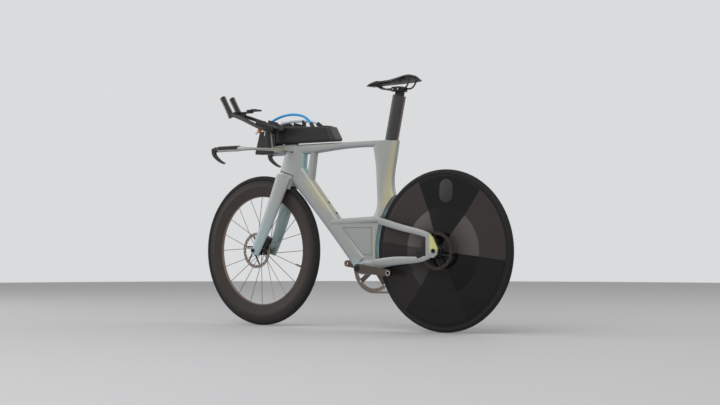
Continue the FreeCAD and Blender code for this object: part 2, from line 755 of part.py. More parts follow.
def clamp_bolts_shape(head_height):
    """Two screws behind the wedge, their heads let into the seat tube's rear edge."""
    bolts = []
    for side in (-1, 1):
        wedge_face = wedge_place() + SEAT_UP * (side * CLAMP_BOLT_STEP / 2) - SEAT_FORWARD * WEDGE_REACH
        head_seat = wedge_place() + SEAT_UP * (side * CLAMP_BOLT_STEP / 2) - SEAT_FORWARD * CLAMP_HEAD_SEAT
        shank = round_bar(wedge_face, head_seat, num.clamp_bolt_radius)
        head = round_bar(head_seat, head_seat - SEAT_FORWARD * head_height, num.clamp_bolt_head)
        bolts.append(shank.fuse(head))
    return Part.makeCompound(bolts)


CHAIN_STAY_PATH = (
    # share from crank to axle, height above that line, depth and thickness
    (0.06, 10, 44, 17), (0.25, 4, 42, 15), (0.56, -7, 34, 14), (0.84, -21, 24, 12), (0.945, -18, 20, 11))
SEAT_STAY_PATH = (
    # share from box to axle, height above that line, depth and thickness
    (0.0, 0, 30, 15), (0.2, 2, 30, 14), (0.55, 3, 28, 13), (0.84, 6, 26, 12), (0.955, 2, 25, 11))


def stay_aside(share):
    """Middle of a stay from the bicycle's middle: beside the tyre at first, at the dropout last."""
    near = num.stay_gap + 8
    far = num.hub_space_rear / 2 + num.dropout_thickness / 2 - 2
    eased = max(share - 0.08, 0) / 0.92
    return near + (far - near) * eased ** 1.15


def stay_loft(start, end, path):
    wires = []
    along = unit(end - start)
    chord = unit(ACROSS.cross(along))
    chord = chord if chord.z > 0 else chord * -1
    for share, lift, depth, thickness in path:
        spot = start + (end - start) * share + Vector(0, stay_aside(share), lift)
        wires.append(section(spot, chord, ACROSS, depth, thickness, 2.8))
    return loft(*wires)


DROPOUT_OUTLINE = ((39, 60), (24, 75), (4, 56), (-20, 10), (-17, -15), (0, -28), (34, -28), (39, -14))


def dropout():
    corners = [REAR_AXLE + Vector(ahead, 0, above) for ahead, above in DROPOUT_OUTLINE]
    left = num.hub_space_rear / 2 + num.dropout_thickness
    return plate(corners, left, num.dropout_thickness)


def wheel_room():
    """The round room of the rear wheel: the stays lie inside it, the main frame outside."""
    return Part.makeCylinder(WHEEL_ROOM_RADIUS, ROOM, REAR_AXLE - ACROSS * (ROOM / 2), ACROSS)


def rear_stay():
    box_end = Vector(CRANK.x - 58, 0, num.mid_beam_level)
    rear_end = REAR_AXLE + Vector(8, 0, 54)
    whole = stay_loft(CRANK, REAR_AXLE, CHAIN_STAY_PATH).multiFuse(
        [stay_loft(box_end, rear_end, SEAT_STAY_PATH), dropout()])
    hub_room = Part.makeCylinder(60, num.hub_space_rear,
                                 REAR_AXLE - ACROSS * (num.hub_space_rear / 2), ACROSS)
    rotor_side = num.hub_space_rear / 2 - num.rotor_inset_rear + 3
    rotor_room = Part.makeCylinder(num.rotor_radius + 4, 2 * rotor_side,
                                   REAR_AXLE - ACROSS * rotor_side, ACROSS)
    axle_hole = Part.makeCylinder(num.axle_radius, ROOM, REAR_AXLE - ACROSS * (ROOM / 2), ACROSS)
    tyre_room = Part.makeCylinder(WHEEL_ROOM_RADIUS, 2 * num.stay_gap,
                                  REAR_AXLE - ACROSS * num.stay_gap, ACROSS)
    for room in (hub_room, rotor_room, axle_hole, tyre_room):
        whole = whole.cut(room)
    return whole.common(wheel_room())


def make_frame():
    keep(make_main_frame(), "main_frame")
    left = rear_stay()
    keep(shape_object("left_rear_stay", left), "left_rear_stay")
    keep(shape_object("right_rear_stay", mirrored(left)), "right_rear_stay")
    keep(shape_object("storage_cover", cover_shape(num.cover_gap)), "storage_cover")
    keep(shape_object("seat_clamp_wedge", wedge_shape(WEDGE_PLAY)), "seat_clamp_wedge")
    keep(shape_object("seat_clamp_bolts", clamp_bolts_shape(CLAMP_HEAD_HEIGHT)), "seat_clamp_bolts")


# Bearings and axles of the frame

def ring(name, outer, inner, length, origin, direction):
    body = cylinder(name + "_outer", outer, length, origin, direction)
    bore = cylinder(name + "_bore", inner, length, origin, direction)
    return cut(name, body, bore)


def make_bearings():
    bore = dim.steerer_radius + dim.axle_fit
    height = dim.headset_bearing_height
    lower = ring("lower_headset", dim.lower_bearing_radius, bore, height, steer(num.fork_length, 0), STEER_UP)
    upper = ring("upper_headset", dim.upper_bearing_radius, bore, height,
                 steer(HEAD_TOP - num.headset_bearing_height, 0), STEER_UP)
    crank_bore = dim.spindle_radius + dim.axle_fit
    sides = []
    for name, side in (("right_crank_bearing", -1), ("left_crank_bearing", 1)):
        outer_face = CRANK + ACROSS * (side * num.shell_width / 2)
        sides.append(ring(name, dim.crank_bearing_radius, crank_bore, dim.crank_bearing_width,
                          outer_face, ACROSS * -side))
    keep(group("frame_bearings", lower, upper, *sides), "frame_bearings")


def thru_axle(label, centre, left_end, length):
    """An axle whose head sits on the left; a round socket opens in the head."""
    shaft = cylinder(label + "_shaft", dim.axle_radius, length,
                     centre + ACROSS * left_end.number, ACROSS * -1)
    head = cylinder(label + "_head", dim.axle_head_radius, dim.axle_head_length,
                    centre + ACROSS * left_end.number, ACROSS)
    socket = cylinder(label + "_socket", dim.axle_socket_radius, dim.axle_socket_depth,
                      centre + ACROSS * (left_end + dim.axle_head_length).number, ACROSS * -1)
    keep(cut(label, fuse(label + "_turned", shaft, head), socket), label)


def make_axles():
    rear_left = dim.hub_space_rear / 2 + dim.dropout_thickness
    thru_axle("rear_axle", REAR_AXLE, rear_left, rear_left * 2 + dim.hanger_thickness)
    front_left = dim.hub_space_front / 2 + dim.blade_width_tip
    thru_axle("front_axle", FRONT_AXLE, front_left, front_left * 2)


HANGER_BOLT = Vector(-6, 0, -34)
HANGER_EYE = 8.0


def make_hanger():
    eye = as_size(HANGER_EYE)
    ahead, above = HANGER_BOLT.x, HANGER_BOLT.z
    corners = ((-13, 9), (ahead - HANGER_EYE, above), (ahead, above - HANGER_EYE),
               (ahead + HANGER_EYE, above), (13, -6), (13, 9))
    left = -(dim.hub_space_rear / 2 + dim.dropout_thickness).number
    plate_body = padded("hanger_plate", "XZ_Plane", corners, dim.hanger_thickness,
                        Placement(REAR_AXLE + ACROSS * left, Rotation()), {1: (eye, 1), 2: (eye, 1)})
    hole = cylinder("hanger_hole", dim.axle_radius, 40, REAR_AXLE + ACROSS * (left + 10), ACROSS * -1)
    keep(cut("derailleur_hanger", plate_body, hole), "derailleur_hanger")


# Brakes

def caliper(label, axle, corner, along, outward, rotor_left, carrier):
    """A caliper round its rotor: along its seat, outward from the seat, with a bridge on the far side."""
    length, height, width = num.caliper_length, num.caliper_height, num.caliper_width
    left = rotor_left - width / 2
    frame = Placement(corner + ACROSS * left, Rotation(along, ACROSS, outward, "XYZ"))
    body = Part.makeBox(length, width, height)
    slot_width = num.rotor_thickness + 2 * (num.pad_gap + num.pad_thickness)
    slot = Part.makeBox(length - 10, slot_width, height, Vector(0, (width - slot_width) / 2, 0))
    body = body.cut(slot)
    sharp = [edge for edge in body.Edges if edge.Length > length - 1 or abs(edge.Length - width) < 1]
    body = body.makeFillet(4, sharp)
    body.Placement = frame
    room = num.rotor_thickness + 2 * num.pad_gap
    rotor_room = Part.makeCylinder(num.rotor_radius + 1, room,
                                   axle + ACROSS * (rotor_left - room / 2), ACROSS)
    body = body.cut(rotor_room)
    pads = []
    for start in ((width - slot_width) / 2, (width + slot_width) / 2 - num.pad_thickness):
        pad = Part.makeBox(length * 0.5, num.pad_thickness, height * 0.55,
                           Vector(length * 0.16, start, height * 0.2))
        pad.Placement = frame
        pads.append(pad)
    keep(shape_object(label + "_brake_caliper", body.cut(carrier)), label + "_brake_caliper")
    keep(shape_object(label + "_brake_pads", Part.makeCompound(pads)), label + "_brake_pads")


def make_rear_brake():
    rotor_left = num.hub_space_rear / 2 - num.rotor_inset_rear
    seat_of_caliper = REAR_AXLE + Vector(36, 0, -26)
    along = unit(Vector(1, 0, -0.1))
    outward = unit(Vector(0.1, 0, 1))
    caliper("rear", REAR_AXLE, seat_of_caliper, along, outward, rotor_left, nodes["left_rear_stay"].Shape)


# Fork and cockpit

def blade():
    crown = num.fork_length
    tip_left = num.hub_space_front / 2 + num.blade_width_tip / 2
    tip_lead = num.fork_offset - 13
    stations = (
        (crown - 18, -5, 0.10, num.blade_depth_crown + 4, num.blade_width_crown + 2),
        (crown * 0.67, 0, 0.52, num.blade_depth_crown - 8, num.blade_width_crown - 2),
        (crown * 0.35, tip_lead * 0.4, 0.80, num.blade_depth_tip + 14, num.blade_width_tip + 4),
        (6, tip_lead, 1.0, num.blade_depth_tip, num.blade_width_tip),
        (-15, tip_lead + 3, 1.0, num.blade_depth_tip - 5, num.blade_width_tip))
    crown_left = num.tyre_width / 2 + 11
    wires = []
    for rise, lead, share, depth, width in stations:
        left = crown_left + (tip_left - crown_left) * share
        wires.append(section(steer(rise, lead, left), STEER_FORWARD, ACROSS, depth, width, 2.6))
    return loft(*wires)


def crown():
    top = num.fork_length - num.seam_gap
    reach_back = num.crown_radius - 1
    depth = num.head_nose + reach_back
    lead = (num.head_nose - reach_back) / 2
    return loft(section(steer(top, lead), STEER_FORWARD, ACROSS, depth, num.head_width - 2, 2.8, 0.1),
                section(steer(top - 30, lead - 2), STEER_FORWARD, ACROSS, depth, num.head_width + 14, 2.8),
                section(steer(top - 64, lead - 3), STEER_FORWARD, ACROSS, depth - 4,
                        num.head_width + 26, 2.8))


STEERER_ABOVE_HEAD = 20


def make_fork():
    left = blade()
    steerer = round_bar(steer(num.fork_length - 30, 0), steer(HEAD_TOP + STEERER_ABOVE_HEAD, 0),
                        num.steerer_radius)
    whole = crown().multiFuse([left, mirrored(left), steerer])
    half = num.tyre_width / 2 + num.wheel_clearance - 2
    tyre_room = Part.makeCylinder(WHEEL_ROOM_RADIUS - 1, 2 * half, FRONT_AXLE - ACROSS * half, ACROSS)
    axle_hole = Part.makeCylinder(num.axle_radius, ROOM, FRONT_AXLE - ACROSS * (ROOM / 2), ACROSS)
    hub_room = Part.makeCylinder(70, num.hub_space_front,
                                 FRONT_AXLE - ACROSS * (num.hub_space_front / 2), ACROSS)
    outer_left = num.hub_space_front / 2 + num.blade_width_tip
    outer_rooms = []
    for side in (-1, 1):
        outer_rooms.append(Part.makeCylinder(num.axle_head_radius + 3, 20,
                                             FRONT_AXLE + ACROSS * (side * outer_left), ACROSS * side))
    rotor_left = num.hub_space_front / 2 - num.rotor_inset_front + 3
    rotor_room = Part.makeCylinder(num.rotor_radius + 4, 2 * rotor_left,
                                   FRONT_AXLE - ACROSS * rotor_left, ACROSS)
    for room in [tyre_room, axle_hole, hub_room, rotor_room] + outer_rooms:
        whole = whole.cut(room)
    keep(shape_object("fork", whole), "fork")


def make_front_brake():
    rotor_left = num.hub_space_front / 2 - num.rotor_inset_front
    tip_lead = num.fork_offset - 13
    blade_down = unit(steer(6, tip_lead) - steer(num.fork_length * 0.35, 0.4 * tip_lead))
    outward = unit(Vector(blade_down.z, 0, -blade_down.x))
    outward = outward if outward.x < 0 else outward * -1
    seat_of_caliper = FRONT_AXLE + Vector(-38, 0, 15) - outward * 6
    caliper("front", FRONT_AXLE, seat_of_caliper, blade_down * -1, outward, rotor_left, nodes["fork"].Shape)


def bar_root():
    return steer_at_level(num.bar_level) + Vector(num.bar_root_reach, 0, 0)


def wing_half():
    """Left half of the base bar: a thin wing that sweeps forward into a straight bar end."""
    origin = bar_root()
    half, sweep = num.bar_half_width, num.bar_sweep + 13
    thick, tall = num.bar_thickness, num.bar_end_height
    stations = (
        # ahead, left, way of travel, chord, thickness
        (0, WING_START, (0, 1), num.bar_root_chord, thick + 3),
        (sweep * 0.26, half * 0.42, (0.42, 0.9), num.bar_root_chord - 6, thick),
        (sweep * 0.62, half * 0.79, (0.64, 0.77), num.bar_root_chord - 16, thick),
        (sweep * 0.86, half * 0.95, (0.85, 0.53), num.bar_end_width + 5, (thick + tall) / 2),
        (sweep + 8, half, (1, 0), num.bar_end_width, tall),
        (sweep + num.bar_end_length, half, (1, 0), num.bar_end_width, tall))
    wires = []
    for ahead, left, way, chord, height in stations:
        travel = unit(Vector(way[0], way[1], 0))
        side = Vector(travel.y, -travel.x, 0)
        wires.append(section(origin + Vector(ahead, left, 0), side, Vector(0, 0, 1), chord, height, 2.5))
    return loft(*wires[:-1]).fuse(loft(*wires[-2:]))


def bar_tip():
    return bar_root() + Vector(num.bar_sweep + 13 + num.bar_end_length, num.bar_half_width, 0)


LEVER_PIN_BACK = 11
CORE_SPARE = 16
WING_START = 12


def lever_pin_place():
    return bar_tip() + Vector(-LEVER_PIN_BACK, 0, -2)


def bar_core(half_width):
    """The square middle of the base bar, which fills its slot in the stem."""
    thick = num.bar_thickness + 4
    length = num.bar_root_chord + CORE_SPARE
    corner = bar_root() + Vector(-num.bar_root_chord / 2 - 1, -half_width, -thick / 2)
    return Part.makeBox(length, 2 * half_width, thick, corner)


def head_room():
    """The round room above the head tube that the stem and the bar keep out of."""
    return Part.makeCylinder(num.head_nose + 8, ROOM, steer(HEAD_TOP + num.seam_gap - ROOM, 0), STEER_UP)


def make_base_bar():
    left = wing_half()
    pin = lever_pin_place()
    slot_width = num.lever_thickness + 2 * num.lever_play
    slot = Part.makeBox(60, slot_width, 60, pin + Vector(-12, -slot_width / 2, -30))
    pin_hole = Part.makeCylinder(num.lever_pin_radius, 60, pin - ACROSS * 30, ACROSS)
    left = left.cut(slot).cut(pin_hole)
    whole = bar_core(num.stem_width / 2 + 1).multiFuse([left, mirrored(left)]).cut(head_room())
    keep(shape_object("base_bar", whole), "base_bar")
    pin_bar = Part.makeCylinder(num.lever_pin_radius, num.bar_end_width - 7,
                                pin - ACROSS * ((num.bar_end_width - 7) / 2), ACROSS)
    keep(shape_object("lever_pins", pair(pin_bar)), "lever_pins")


def make_bar_grips():
    start = bar_root() + Vector(num.bar_sweep + 15, num.bar_half_width, 0)
    wires = []
    for ahead in (0, num.grip_length):
        wires.append(section(start + Vector(ahead, 0, 0), ACROSS, Vector(0, 0, 1),
                             num.bar_end_width + 2 * num.grip_wall,
                             num.bar_end_height + 2 * num.grip_wall, 2.5))
    upper = Part.makeBox(ROOM, ROOM, ROOM, Vector(start.x - 60, 0, num.bar_level - 3))
    sleeve = loft(*wires).cut(nodes["base_bar"].Shape).common(upper)
    keep(shape_object("bar_grips", pair(sleeve)), "bar_grips")


LEVER_NOSE = 33


def make_levers():
    drop, back = dim.lever_drop, dim.lever_back
    corners = ((-8, -6), (-7, 7), (14, 12), (LEVER_NOSE, 6), (LEVER_NOSE - 10, -drop * 0.5),
               (-back + 4, -drop - 6), (-back - 2, -drop), (5, -drop * 0.42), (11, -10))
    arcs = {3: (as_size(44), -1), 4: (as_size(150), -1), 6: (as_size(130), 1), 7: (as_size(24), 1)}
    for label, side in (("left_brake_lever", 1), ("right_brake_lever", -1)):
        pin = lever_pin_place()
        outer_face = Vector(pin.x, side * pin.y + num.lever_thickness / 2, pin.z)
        blade_body = padded(label + "_blade", "XZ_Plane", corners, dim.lever_thickness,
                            Placement(outer_face, Rotation()), arcs)
        bore = cylinder(label + "_bore", dim.lever_pin_radius + dim.axle_fit, 40,
                        Vector(pin.x, side * pin.y - 20, pin.z), ACROSS)
        keep(cut(label, blade_body, bore), label)


def stem_block():
    axis = steer_at_level(num.top_tube_level - num.stem_depth / 2)
    behind = num.stem_turn_radius + 4
    corner = axis + Vector(-behind, -num.stem_width / 2, -num.stem_depth / 2)
    bar = Part.makeBox(behind + num.stem_reach, num.stem_width, num.stem_depth, corner)
    return bar.makeFillet(num.stem_rounding, bar.Edges)


def stem_front():
    return steer_at_level(num.top_tube_level - num.stem_depth / 2).x + num.stem_reach


def make_stem():
    round_rear = Part.makeCylinder(num.stem_turn_radius, ROOM, steer(HEAD_TOP + num.seam_gap, 0), STEER_UP)
    ahead = Part.makeBox(ROOM, ROOM, ROOM)
    ahead.Placement = Placement(steer(HEAD_TOP, 0, -ROOM / 2) - STEER_UP * (ROOM / 2),
                                Rotation(STEER_FORWARD, ACROSS, STEER_UP, "XYZ"))
    whole = stem_block().common(round_rear.fuse(ahead)).cut(head_room())
    steerer = round_bar(steer(HEAD_TOP - ROOM / 2, 0), steer(HEAD_TOP + STEERER_ABOVE_HEAD, 0),
                        num.steerer_radius)
    whole = whole.cut(steerer).cut(bar_core(num.stem_width))
    keep(shape_object("stem", whole), "stem")


CUP_LEAD = 40
SCOOP_RADIUS = 90


def cup_frame(left):
    """Rear end of an arm cup's underside, tilted up towards the front."""
    rear = steer_at_level(num.cup_level).x + CUP_LEAD
    return Placement(Vector(rear, left, num.cup_level), Rotation(ACROSS, -num.cup_tilt))


def make_arm_cups():
    half = dim.cup_width / 2
    wall, height = dim.cup_wall, dim.cup_height
    corner = dim.cup_corner
    corners = ((-half + corner, 0), (half - corner, 0), (half, corner), (half, height), (half - wall, height),
               (half - wall, corner + wall), (half - corner - wall, wall), (-half + corner + wall, wall),
               (-half + wall, corner + wall), (-half + wall, height), (-half, height), (-half, corner))
    arcs = {1: (corner, 1), 5: (corner, -1), 7: (corner, -1), 11: (corner, 1)}
    cups = []
    for name, side in (("left_cup", 1), ("right_cup", -1)):
        frame = cup_frame(side * num.cup_spread)
        trough = padded(name, "YZ_Plane", corners, dim.cup_length, frame, arcs)
        middle = frame.multVec(Vector(0, -num.cup_width, num.cup_rear_height + SCOOP_RADIUS))
        scoop = cylinder(name + "_scoop", SCOOP_RADIUS, dim.cup_width * 2, middle, ACROSS)
        cups.append(cut(name + "_trimmed", trough, scoop))
    keep(group("arm_cups", *cups), "arm_cups")


def crowned_wire(ahead, half, low, side, crest, lean):
    """A pad's cross section: flat foot, leaning sides and a domed top."""
    foot = half - lean
    points = [Vector(ahead, -foot, low), Vector(ahead, foot, low), Vector(ahead, half, low + side),
              Vector(ahead, -half, low + side)]
    top = Part.Arc(points[2], Vector(ahead, 0, low + crest), points[3]).toShape()
    edges = [Part.LineSegment(points[0], points[1]).toShape(),
             Part.LineSegment(points[1], points[2]).toShape(),
             top, Part.LineSegment(points[3], points[0]).toShape()]
    return Part.Wire(edges)


PAD_INSET = 6
PAD_LEAN = 12.5


def make_arm_pads():
    half = num.cup_width / 2 - num.cup_wall - PAD_INSET
    low = num.cup_wall + num.arm_pad_gap
    crest = num.arm_pad_height
    pads = []
    for side in (1, -1):
        stations = ((6, 0.82, 0.6), (26, 1.0, 1.0), (num.cup_length - 26, 1.0, 1.0),
                    (num.cup_length - 6, 0.82, 0.6))
        wires = [crowned_wire(ahead, half * wide, low, crest * tall * 0.5, crest * tall, PAD_LEAN)
                 for ahead, wide, tall in stations]
        pad = Part.makeLoft(wires, True, False)
        pad.Placement = cup_frame(side * num.cup_spread)
        pads.append(pad)
    keep(shape_object("arm_pads", Part.makeCompound(pads)), "arm_pads")


def hand_top(left):
    return Vector(num.hand_reach, left, num.hand_level)


HAND_SLOPE = math.radians(num.hand_angle)
HAND_UP = Vector(math.cos(HAND_SLOPE), 0, math.sin(HAND_SLOPE))
HAND_FORWARD = Vector(math.sin(HAND_SLOPE), 0, -math.cos(HAND_SLOPE))


def hand_grip():
    top = hand_top(num.hand_spread)
    foot = top - HAND_UP * num.hand_length
    middle = top - HAND_UP * (num.hand_length * 0.5)
    grip = loft(section(foot, HAND_FORWARD, ACROSS, num.hand_depth + 3, num.hand_width + 3, 2.4),
                section(middle, HAND_FORWARD, ACROSS, num.hand_depth - 2, num.hand_width - 1, 2.4),
                section(top, HAND_FORWARD, ACROSS, num.hand_depth, num.hand_width, 2.4))
    well = Part.makeCylinder(num.button_radius + num.button_play, num.button_length, top, HAND_UP * -1)
    return grip.cut(well)


def make_hand_grips():
    keep(shape_object("extension_grips", pair(hand_grip())), "extension_grips")
    for label, side in (("left_shift_button", 1), ("right_shift_button", -1)):
        top = hand_top(side * num.hand_spread) + HAND_UP * num.button_rise
        keep(cylinder(label, dim.button_radius, dim.button_length, top, HAND_UP * -1), label)


def make_extensions():
    frame = cup_frame(num.cup_spread)
    depth = num.extension_depth
    under = -depth / 2 + 1.5
    first = frame.multVec(Vector(30, -8, under))
    second = frame.multVec(Vector(num.cup_length, -14, under))
    last = hand_top(num.hand_spread) - HAND_UP * (num.hand_length - 12)
    third = second + (last - second) * 0.55 + Vector(0, 0, 3)
    bar = bent_tube((first, second, third, last),
                    ((depth, num.extension_width), (depth, num.extension_width),
                     (depth, num.extension_width - 4), (depth + 2, num.hand_width - 4)))
    grips = nodes["extension_grips"].Shape
    bar = bar.cut(nodes["arm_cups"].Shape).cut(grips)
    bar = max(bar.Solids, key=lambda solid: solid.Volume)
    keep(shape_object("extensions", pair(bar)), "extensions")


MOUNT_BRIDGE = Vector(14, 72, 22)
MOUNT_ARM_WIDTH = 26
MOUNT_THICKNESS = 7
MOUNT_LAP = 8
MOUNT_DISC_RADIUS = 15
MOUNT_DISC_HEIGHT = 3
MOUNT_ROUNDING = 9
RISER_LEAD = 28


def make_computer_mount():
    """A bridge on both extensions, an arm to the rear and a flat plate with a round bayonet."""
    size = MOUNT_BRIDGE
    top = num.mount_level
    bridge = Part.makeBox(size.x, size.y, size.z, Vector(num.mount_reach, -size.y / 2, top - size.z))
    arm_rear = num.mount_reach - num.mount_arm
    arm = Part.makeBox(num.mount_arm + MOUNT_LAP, MOUNT_ARM_WIDTH, MOUNT_THICKNESS,
                       Vector(arm_rear, -MOUNT_ARM_WIDTH / 2, top - MOUNT_THICKNESS))
    plate_rear = arm_rear - num.mount_plate + 2 * MOUNT_LAP
    slab = Part.makeBox(num.mount_plate, num.mount_width, MOUNT_THICKNESS,
                        Vector(plate_rear, -num.mount_width / 2, top))
    upright = [edge for edge in slab.Edges if abs(edge.Length - MOUNT_THICKNESS) < 0.01]
    slab = slab.makeFillet(MOUNT_ROUNDING, upright)
    middle = Vector(plate_rear + num.mount_plate / 2, 0, top + MOUNT_THICKNESS)
    disc = Part.makeCylinder(MOUNT_DISC_RADIUS, MOUNT_DISC_HEIGHT, middle, Vector(0, 0, 1))
    whole = bridge.multiFuse([arm, slab, disc]).cut(nodes["extensions"].Shape)
    whole = max(whole.Solids, key=lambda solid: solid.Volume)
    keep(shape_object("computer_mount", whole), "computer_mount")


def riser_foot():
    return Vector(bar_root().x + RISER_LEAD, num.riser_spread, num.bar_level)


def make_risers():
    foot = riser_foot()
    frame = cup_frame(num.cup_spread)
    ahead = (foot.x + 6 - frame.Base.x) / math.cos(math.radians(num.cup_tilt))
    top = frame.multVec(Vector(ahead, -8, 0))
    riser = loft(section(foot, Vector(1, 0, 0), ACROSS, num.riser_depth, num.riser_width, 2.6),
                 section(Vector(top.x, num.riser_spread + 4, top.z), Vector(1, 0, 0), ACROSS,
                         num.riser_depth - 4, num.riser_width + 2, 2.6))
    bolts = []
    for step in (-10, 10):
        mouth = frame.multVec(Vector(ahead + step, -8, num.cup_wall - 1.5))
        way = frame.Rotation.multVec(Vector(0, 0, -1))
        shank = Part.makeCylinder(num.riser_bolt_radius, 38, mouth, way)
        head = Part.makeCylinder(num.riser_bolt_radius + 2, 2.5, mouth, way)
        bolts.append(shank.fuse(head))
    bolts = Part.makeCompound(bolts)
    both = Part.makeCompound([bolts, mirrored(bolts)])
    for label in ("arm_cups", "extensions"):
        carrier = nodes[label]
        if label == "arm_cups":
            drill = shape_object("cup_bolt_holes", both)
            holed = cut("drilled_" + label, carrier, drill)
            doc.recompute()
            keep(holed, label)
            carrier.Label = "arm_cup_blanks"
        else:
            carrier.Shape = carrier.Shape.cut(both)
    for carrier in (nodes["base_bar"].Shape, nodes["extensions"].Shape, both, nodes["arm_cups"].Shape):
        riser = riser.cut(carrier)
    riser = max(riser.Solids, key=lambda solid: solid.Volume)
    keep(shape_object("arm_risers", pair(riser)), "arm_risers")
    keep(shape_object("riser_bolts", both), "riser_bolts")


# Storage and hydration

def store_front():
    return dim.store_tail + dim.store_length


def store_top(ahead):
    """Height of the storage box's upper face at a distance ahead of the origin."""
    rear = num.store_tail + STORE_SLANT
    rise = num.store_front_height - num.store_rear_height
    share = (ahead - rear) / (store_front().number - rear)
    return num.store_level + num.store_rear_height + rise * share


STORE_SLANT = 39
STORE_FOOT_SINK = 10
FILLER_PLACE = 134


def rounded(body, radius):
    """Round every edge of a padded body."""
    doc.recompute()
    sharp = body.Tip
    rounding = body.newObject("PartDesign::Fillet", body.Label + "_rounding")
    rounding.Base = (sharp, [f"Edge{index}" for index in range(1, len(sharp.Shape.Edges) + 1)])
    bind(rounding, Radius=radius)
    body.Tip = rounding
    return body


def make_storage():
    tail, front, level = dim.store_tail, store_front(), dim.store_level
    corners = ((tail, level), (front, level), (front, level + dim.store_front_height),
               (tail + STORE_SLANT, level + dim.store_rear_height))
    body = padded("storage_shell", "XZ_Plane", corners, dim.store_width,
                  Placement(Vector(0, num.store_width / 2, 0), Rotation()))
    rounded(body, dim.store_rounding)
    axis = steer_at_level(num.top_tube_level)
    foot = block("storage_foot", 60, 28, 24,
                 Placement(Vector(axis.x - 12, -14, num.store_level - STORE_FOOT_SINK), Rotation()))
    mouth = Vector(FILLER_PLACE, 0, store_top(FILLER_PLACE) + 4)
    filler = cylinder("filler_neck", dim.filler_radius, dim.filler_depth + 4, mouth, Vector(0, 0, -1))
    keep(cut("storage_box", fuse("storage_blank", body, foot), filler, nodes["stem"]), "storage_box")


CAP_GAP = 0.1


def cap_hinge():
    ahead = FILLER_PLACE - num.cap_length / 2
    return Vector(ahead, 0, store_top(ahead) + num.cap_height / 2 + CAP_GAP)


def make_tank_cap():
    rear = FILLER_PLACE - num.cap_length / 2
    front = rear + num.cap_length
    low = (store_top(rear) + CAP_GAP, store_top(front) + CAP_GAP)
    corners = ((rear, low[0]), (front, low[1]), (front, low[1] + num.cap_height),
               (rear, low[0] + num.cap_height))
    lid = padded("cap_lid", "XZ_Plane", corners, dim.cap_width,
                 Placement(Vector(0, num.cap_width / 2, 0), Rotation()))
    barrel = cylinder("cap_barrel", dim.cap_height / 2, dim.cap_width,
                      cap_hinge() + ACROSS * (num.cap_width / 2), ACROSS * -1)
    keep(fuse("tank_cap", lid, barrel), "tank_cap")


NOSE_ROUNDING = 6


def make_nose_tank():
    rear = store_front() + 0.3
    front_foot = store_front() + dim.nose_length
    stem_face = stem_front() + 0.3
    sunk = dim.store_level - STORE_FOOT_SINK
    corners = ((rear, sunk), (stem_face, sunk), (stem_face, dim.nose_level + 3),
               (stem_face + 17, dim.nose_level), (front_foot, dim.nose_level),
               (front_foot - 30, dim.nose_level + 100),
               (rear, dim.store_level + dim.store_front_height - 1))
    body = padded("nose_shell", "XZ_Plane", corners, dim.nose_width,
                  Placement(Vector(0, num.nose_width / 2, 0), Rotation()))
    rounded(body, as_size(NOSE_ROUNDING))
    keep(cut("nose_tank", body, nodes["stem"]), "nose_tank")


DRINK_ROUTE = (
    Vector(196, 18, 893), Vector(213, 18, 917), Vector(246, 19, 937), Vector(293, 22, 947),
    Vector(345, 26, 945), Vector(391, 30, 933), Vector(430, 36, 914), Vector(463, 44, 894),
    Vector(483, 50, 879))
REFILL_ROUTE = (
    Vector(180, -14, 895), Vector(202, -14, 910), Vector(244, -14.5, 917), Vector(300, -13, 919),
    Vector(356, -11.5, 917.5), Vector(406, -10.5, 910.5), Vector(440, -10, 896))
CLIP_LENGTH = 9
CLIP_SHARE = 0.45


def socket_round(start, towards, radius):
    """A hose socket: a short sleeve round the hose's end, with its foot in the tank's top."""
    way = unit(towards - start)
    sleeve = round_bar(start - way * num.fitting_height, start + way * num.fitting_height,
                       radius + num.hose_wall)
    return sleeve.cut(round_bar(start, towards, radius))


def hose_clip():
    """A clip on the storage box that holds the refill hose down."""
    before, after = REFILL_ROUTE[2], REFILL_ROUTE[3]
    middle = before + (after - before) * CLIP_SHARE
    foot = store_top(middle.x) - 3
    half = num.refill_hose_radius + num.hose_wall
    clip = Part.makeBox(CLIP_LENGTH, 2 * half, middle.z + 2 - foot,
                        Vector(middle.x - CLIP_LENGTH / 2, middle.y - half, foot))
    return clip.cut(round_bar(before, after, num.refill_hose_radius))


def make_hoses():
    drink, refill = num.drink_hose_radius, num.refill_hose_radius
    keep(shape_object("drink_hose", hose("drink_hose", DRINK_ROUTE, drink)), "drink_hose")
    keep(shape_object("refill_hose", hose("refill_hose", REFILL_ROUTE, refill)), "refill_hose")
    sockets = [socket_round(DRINK_ROUTE[0], DRINK_ROUTE[1], drink),
               socket_round(REFILL_ROUTE[0], REFILL_ROUTE[1], refill),
               socket_round(REFILL_ROUTE[-1], REFILL_ROUTE[-2], refill), hose_clip()]
    fittings = []
    for shape in sockets:
        seated = shape.cut(nodes["storage_box"].Shape).cut(nodes["nose_tank"].Shape)
        fittings.append(max(seated.Solids, key=lambda solid: solid.Volume))
    keep(shape_object("hose_fittings", Part.makeCompound(fittings)), "hose_fittings")
    end, before = DRINK_ROUTE[-1], DRINK_ROUTE[-2]
    way = unit(end - before)
    collar = round_bar(end - way * 8, end + way * 6, drink + num.hose_wall)
    tip = round_bar(end + way * 6, end + way * 20, drink)
    keep(shape_object("bite_valve", collar.fuse(tip).cut(round_bar(before, end, drink))), "bite_valve")


# Seat

def make_seatpost():
    foot = num.post_rise - num.post_length
    keep(shape_object("seatpost", loft(post_section(foot, 0), post_section(num.post_rise, 0))), "seatpost")


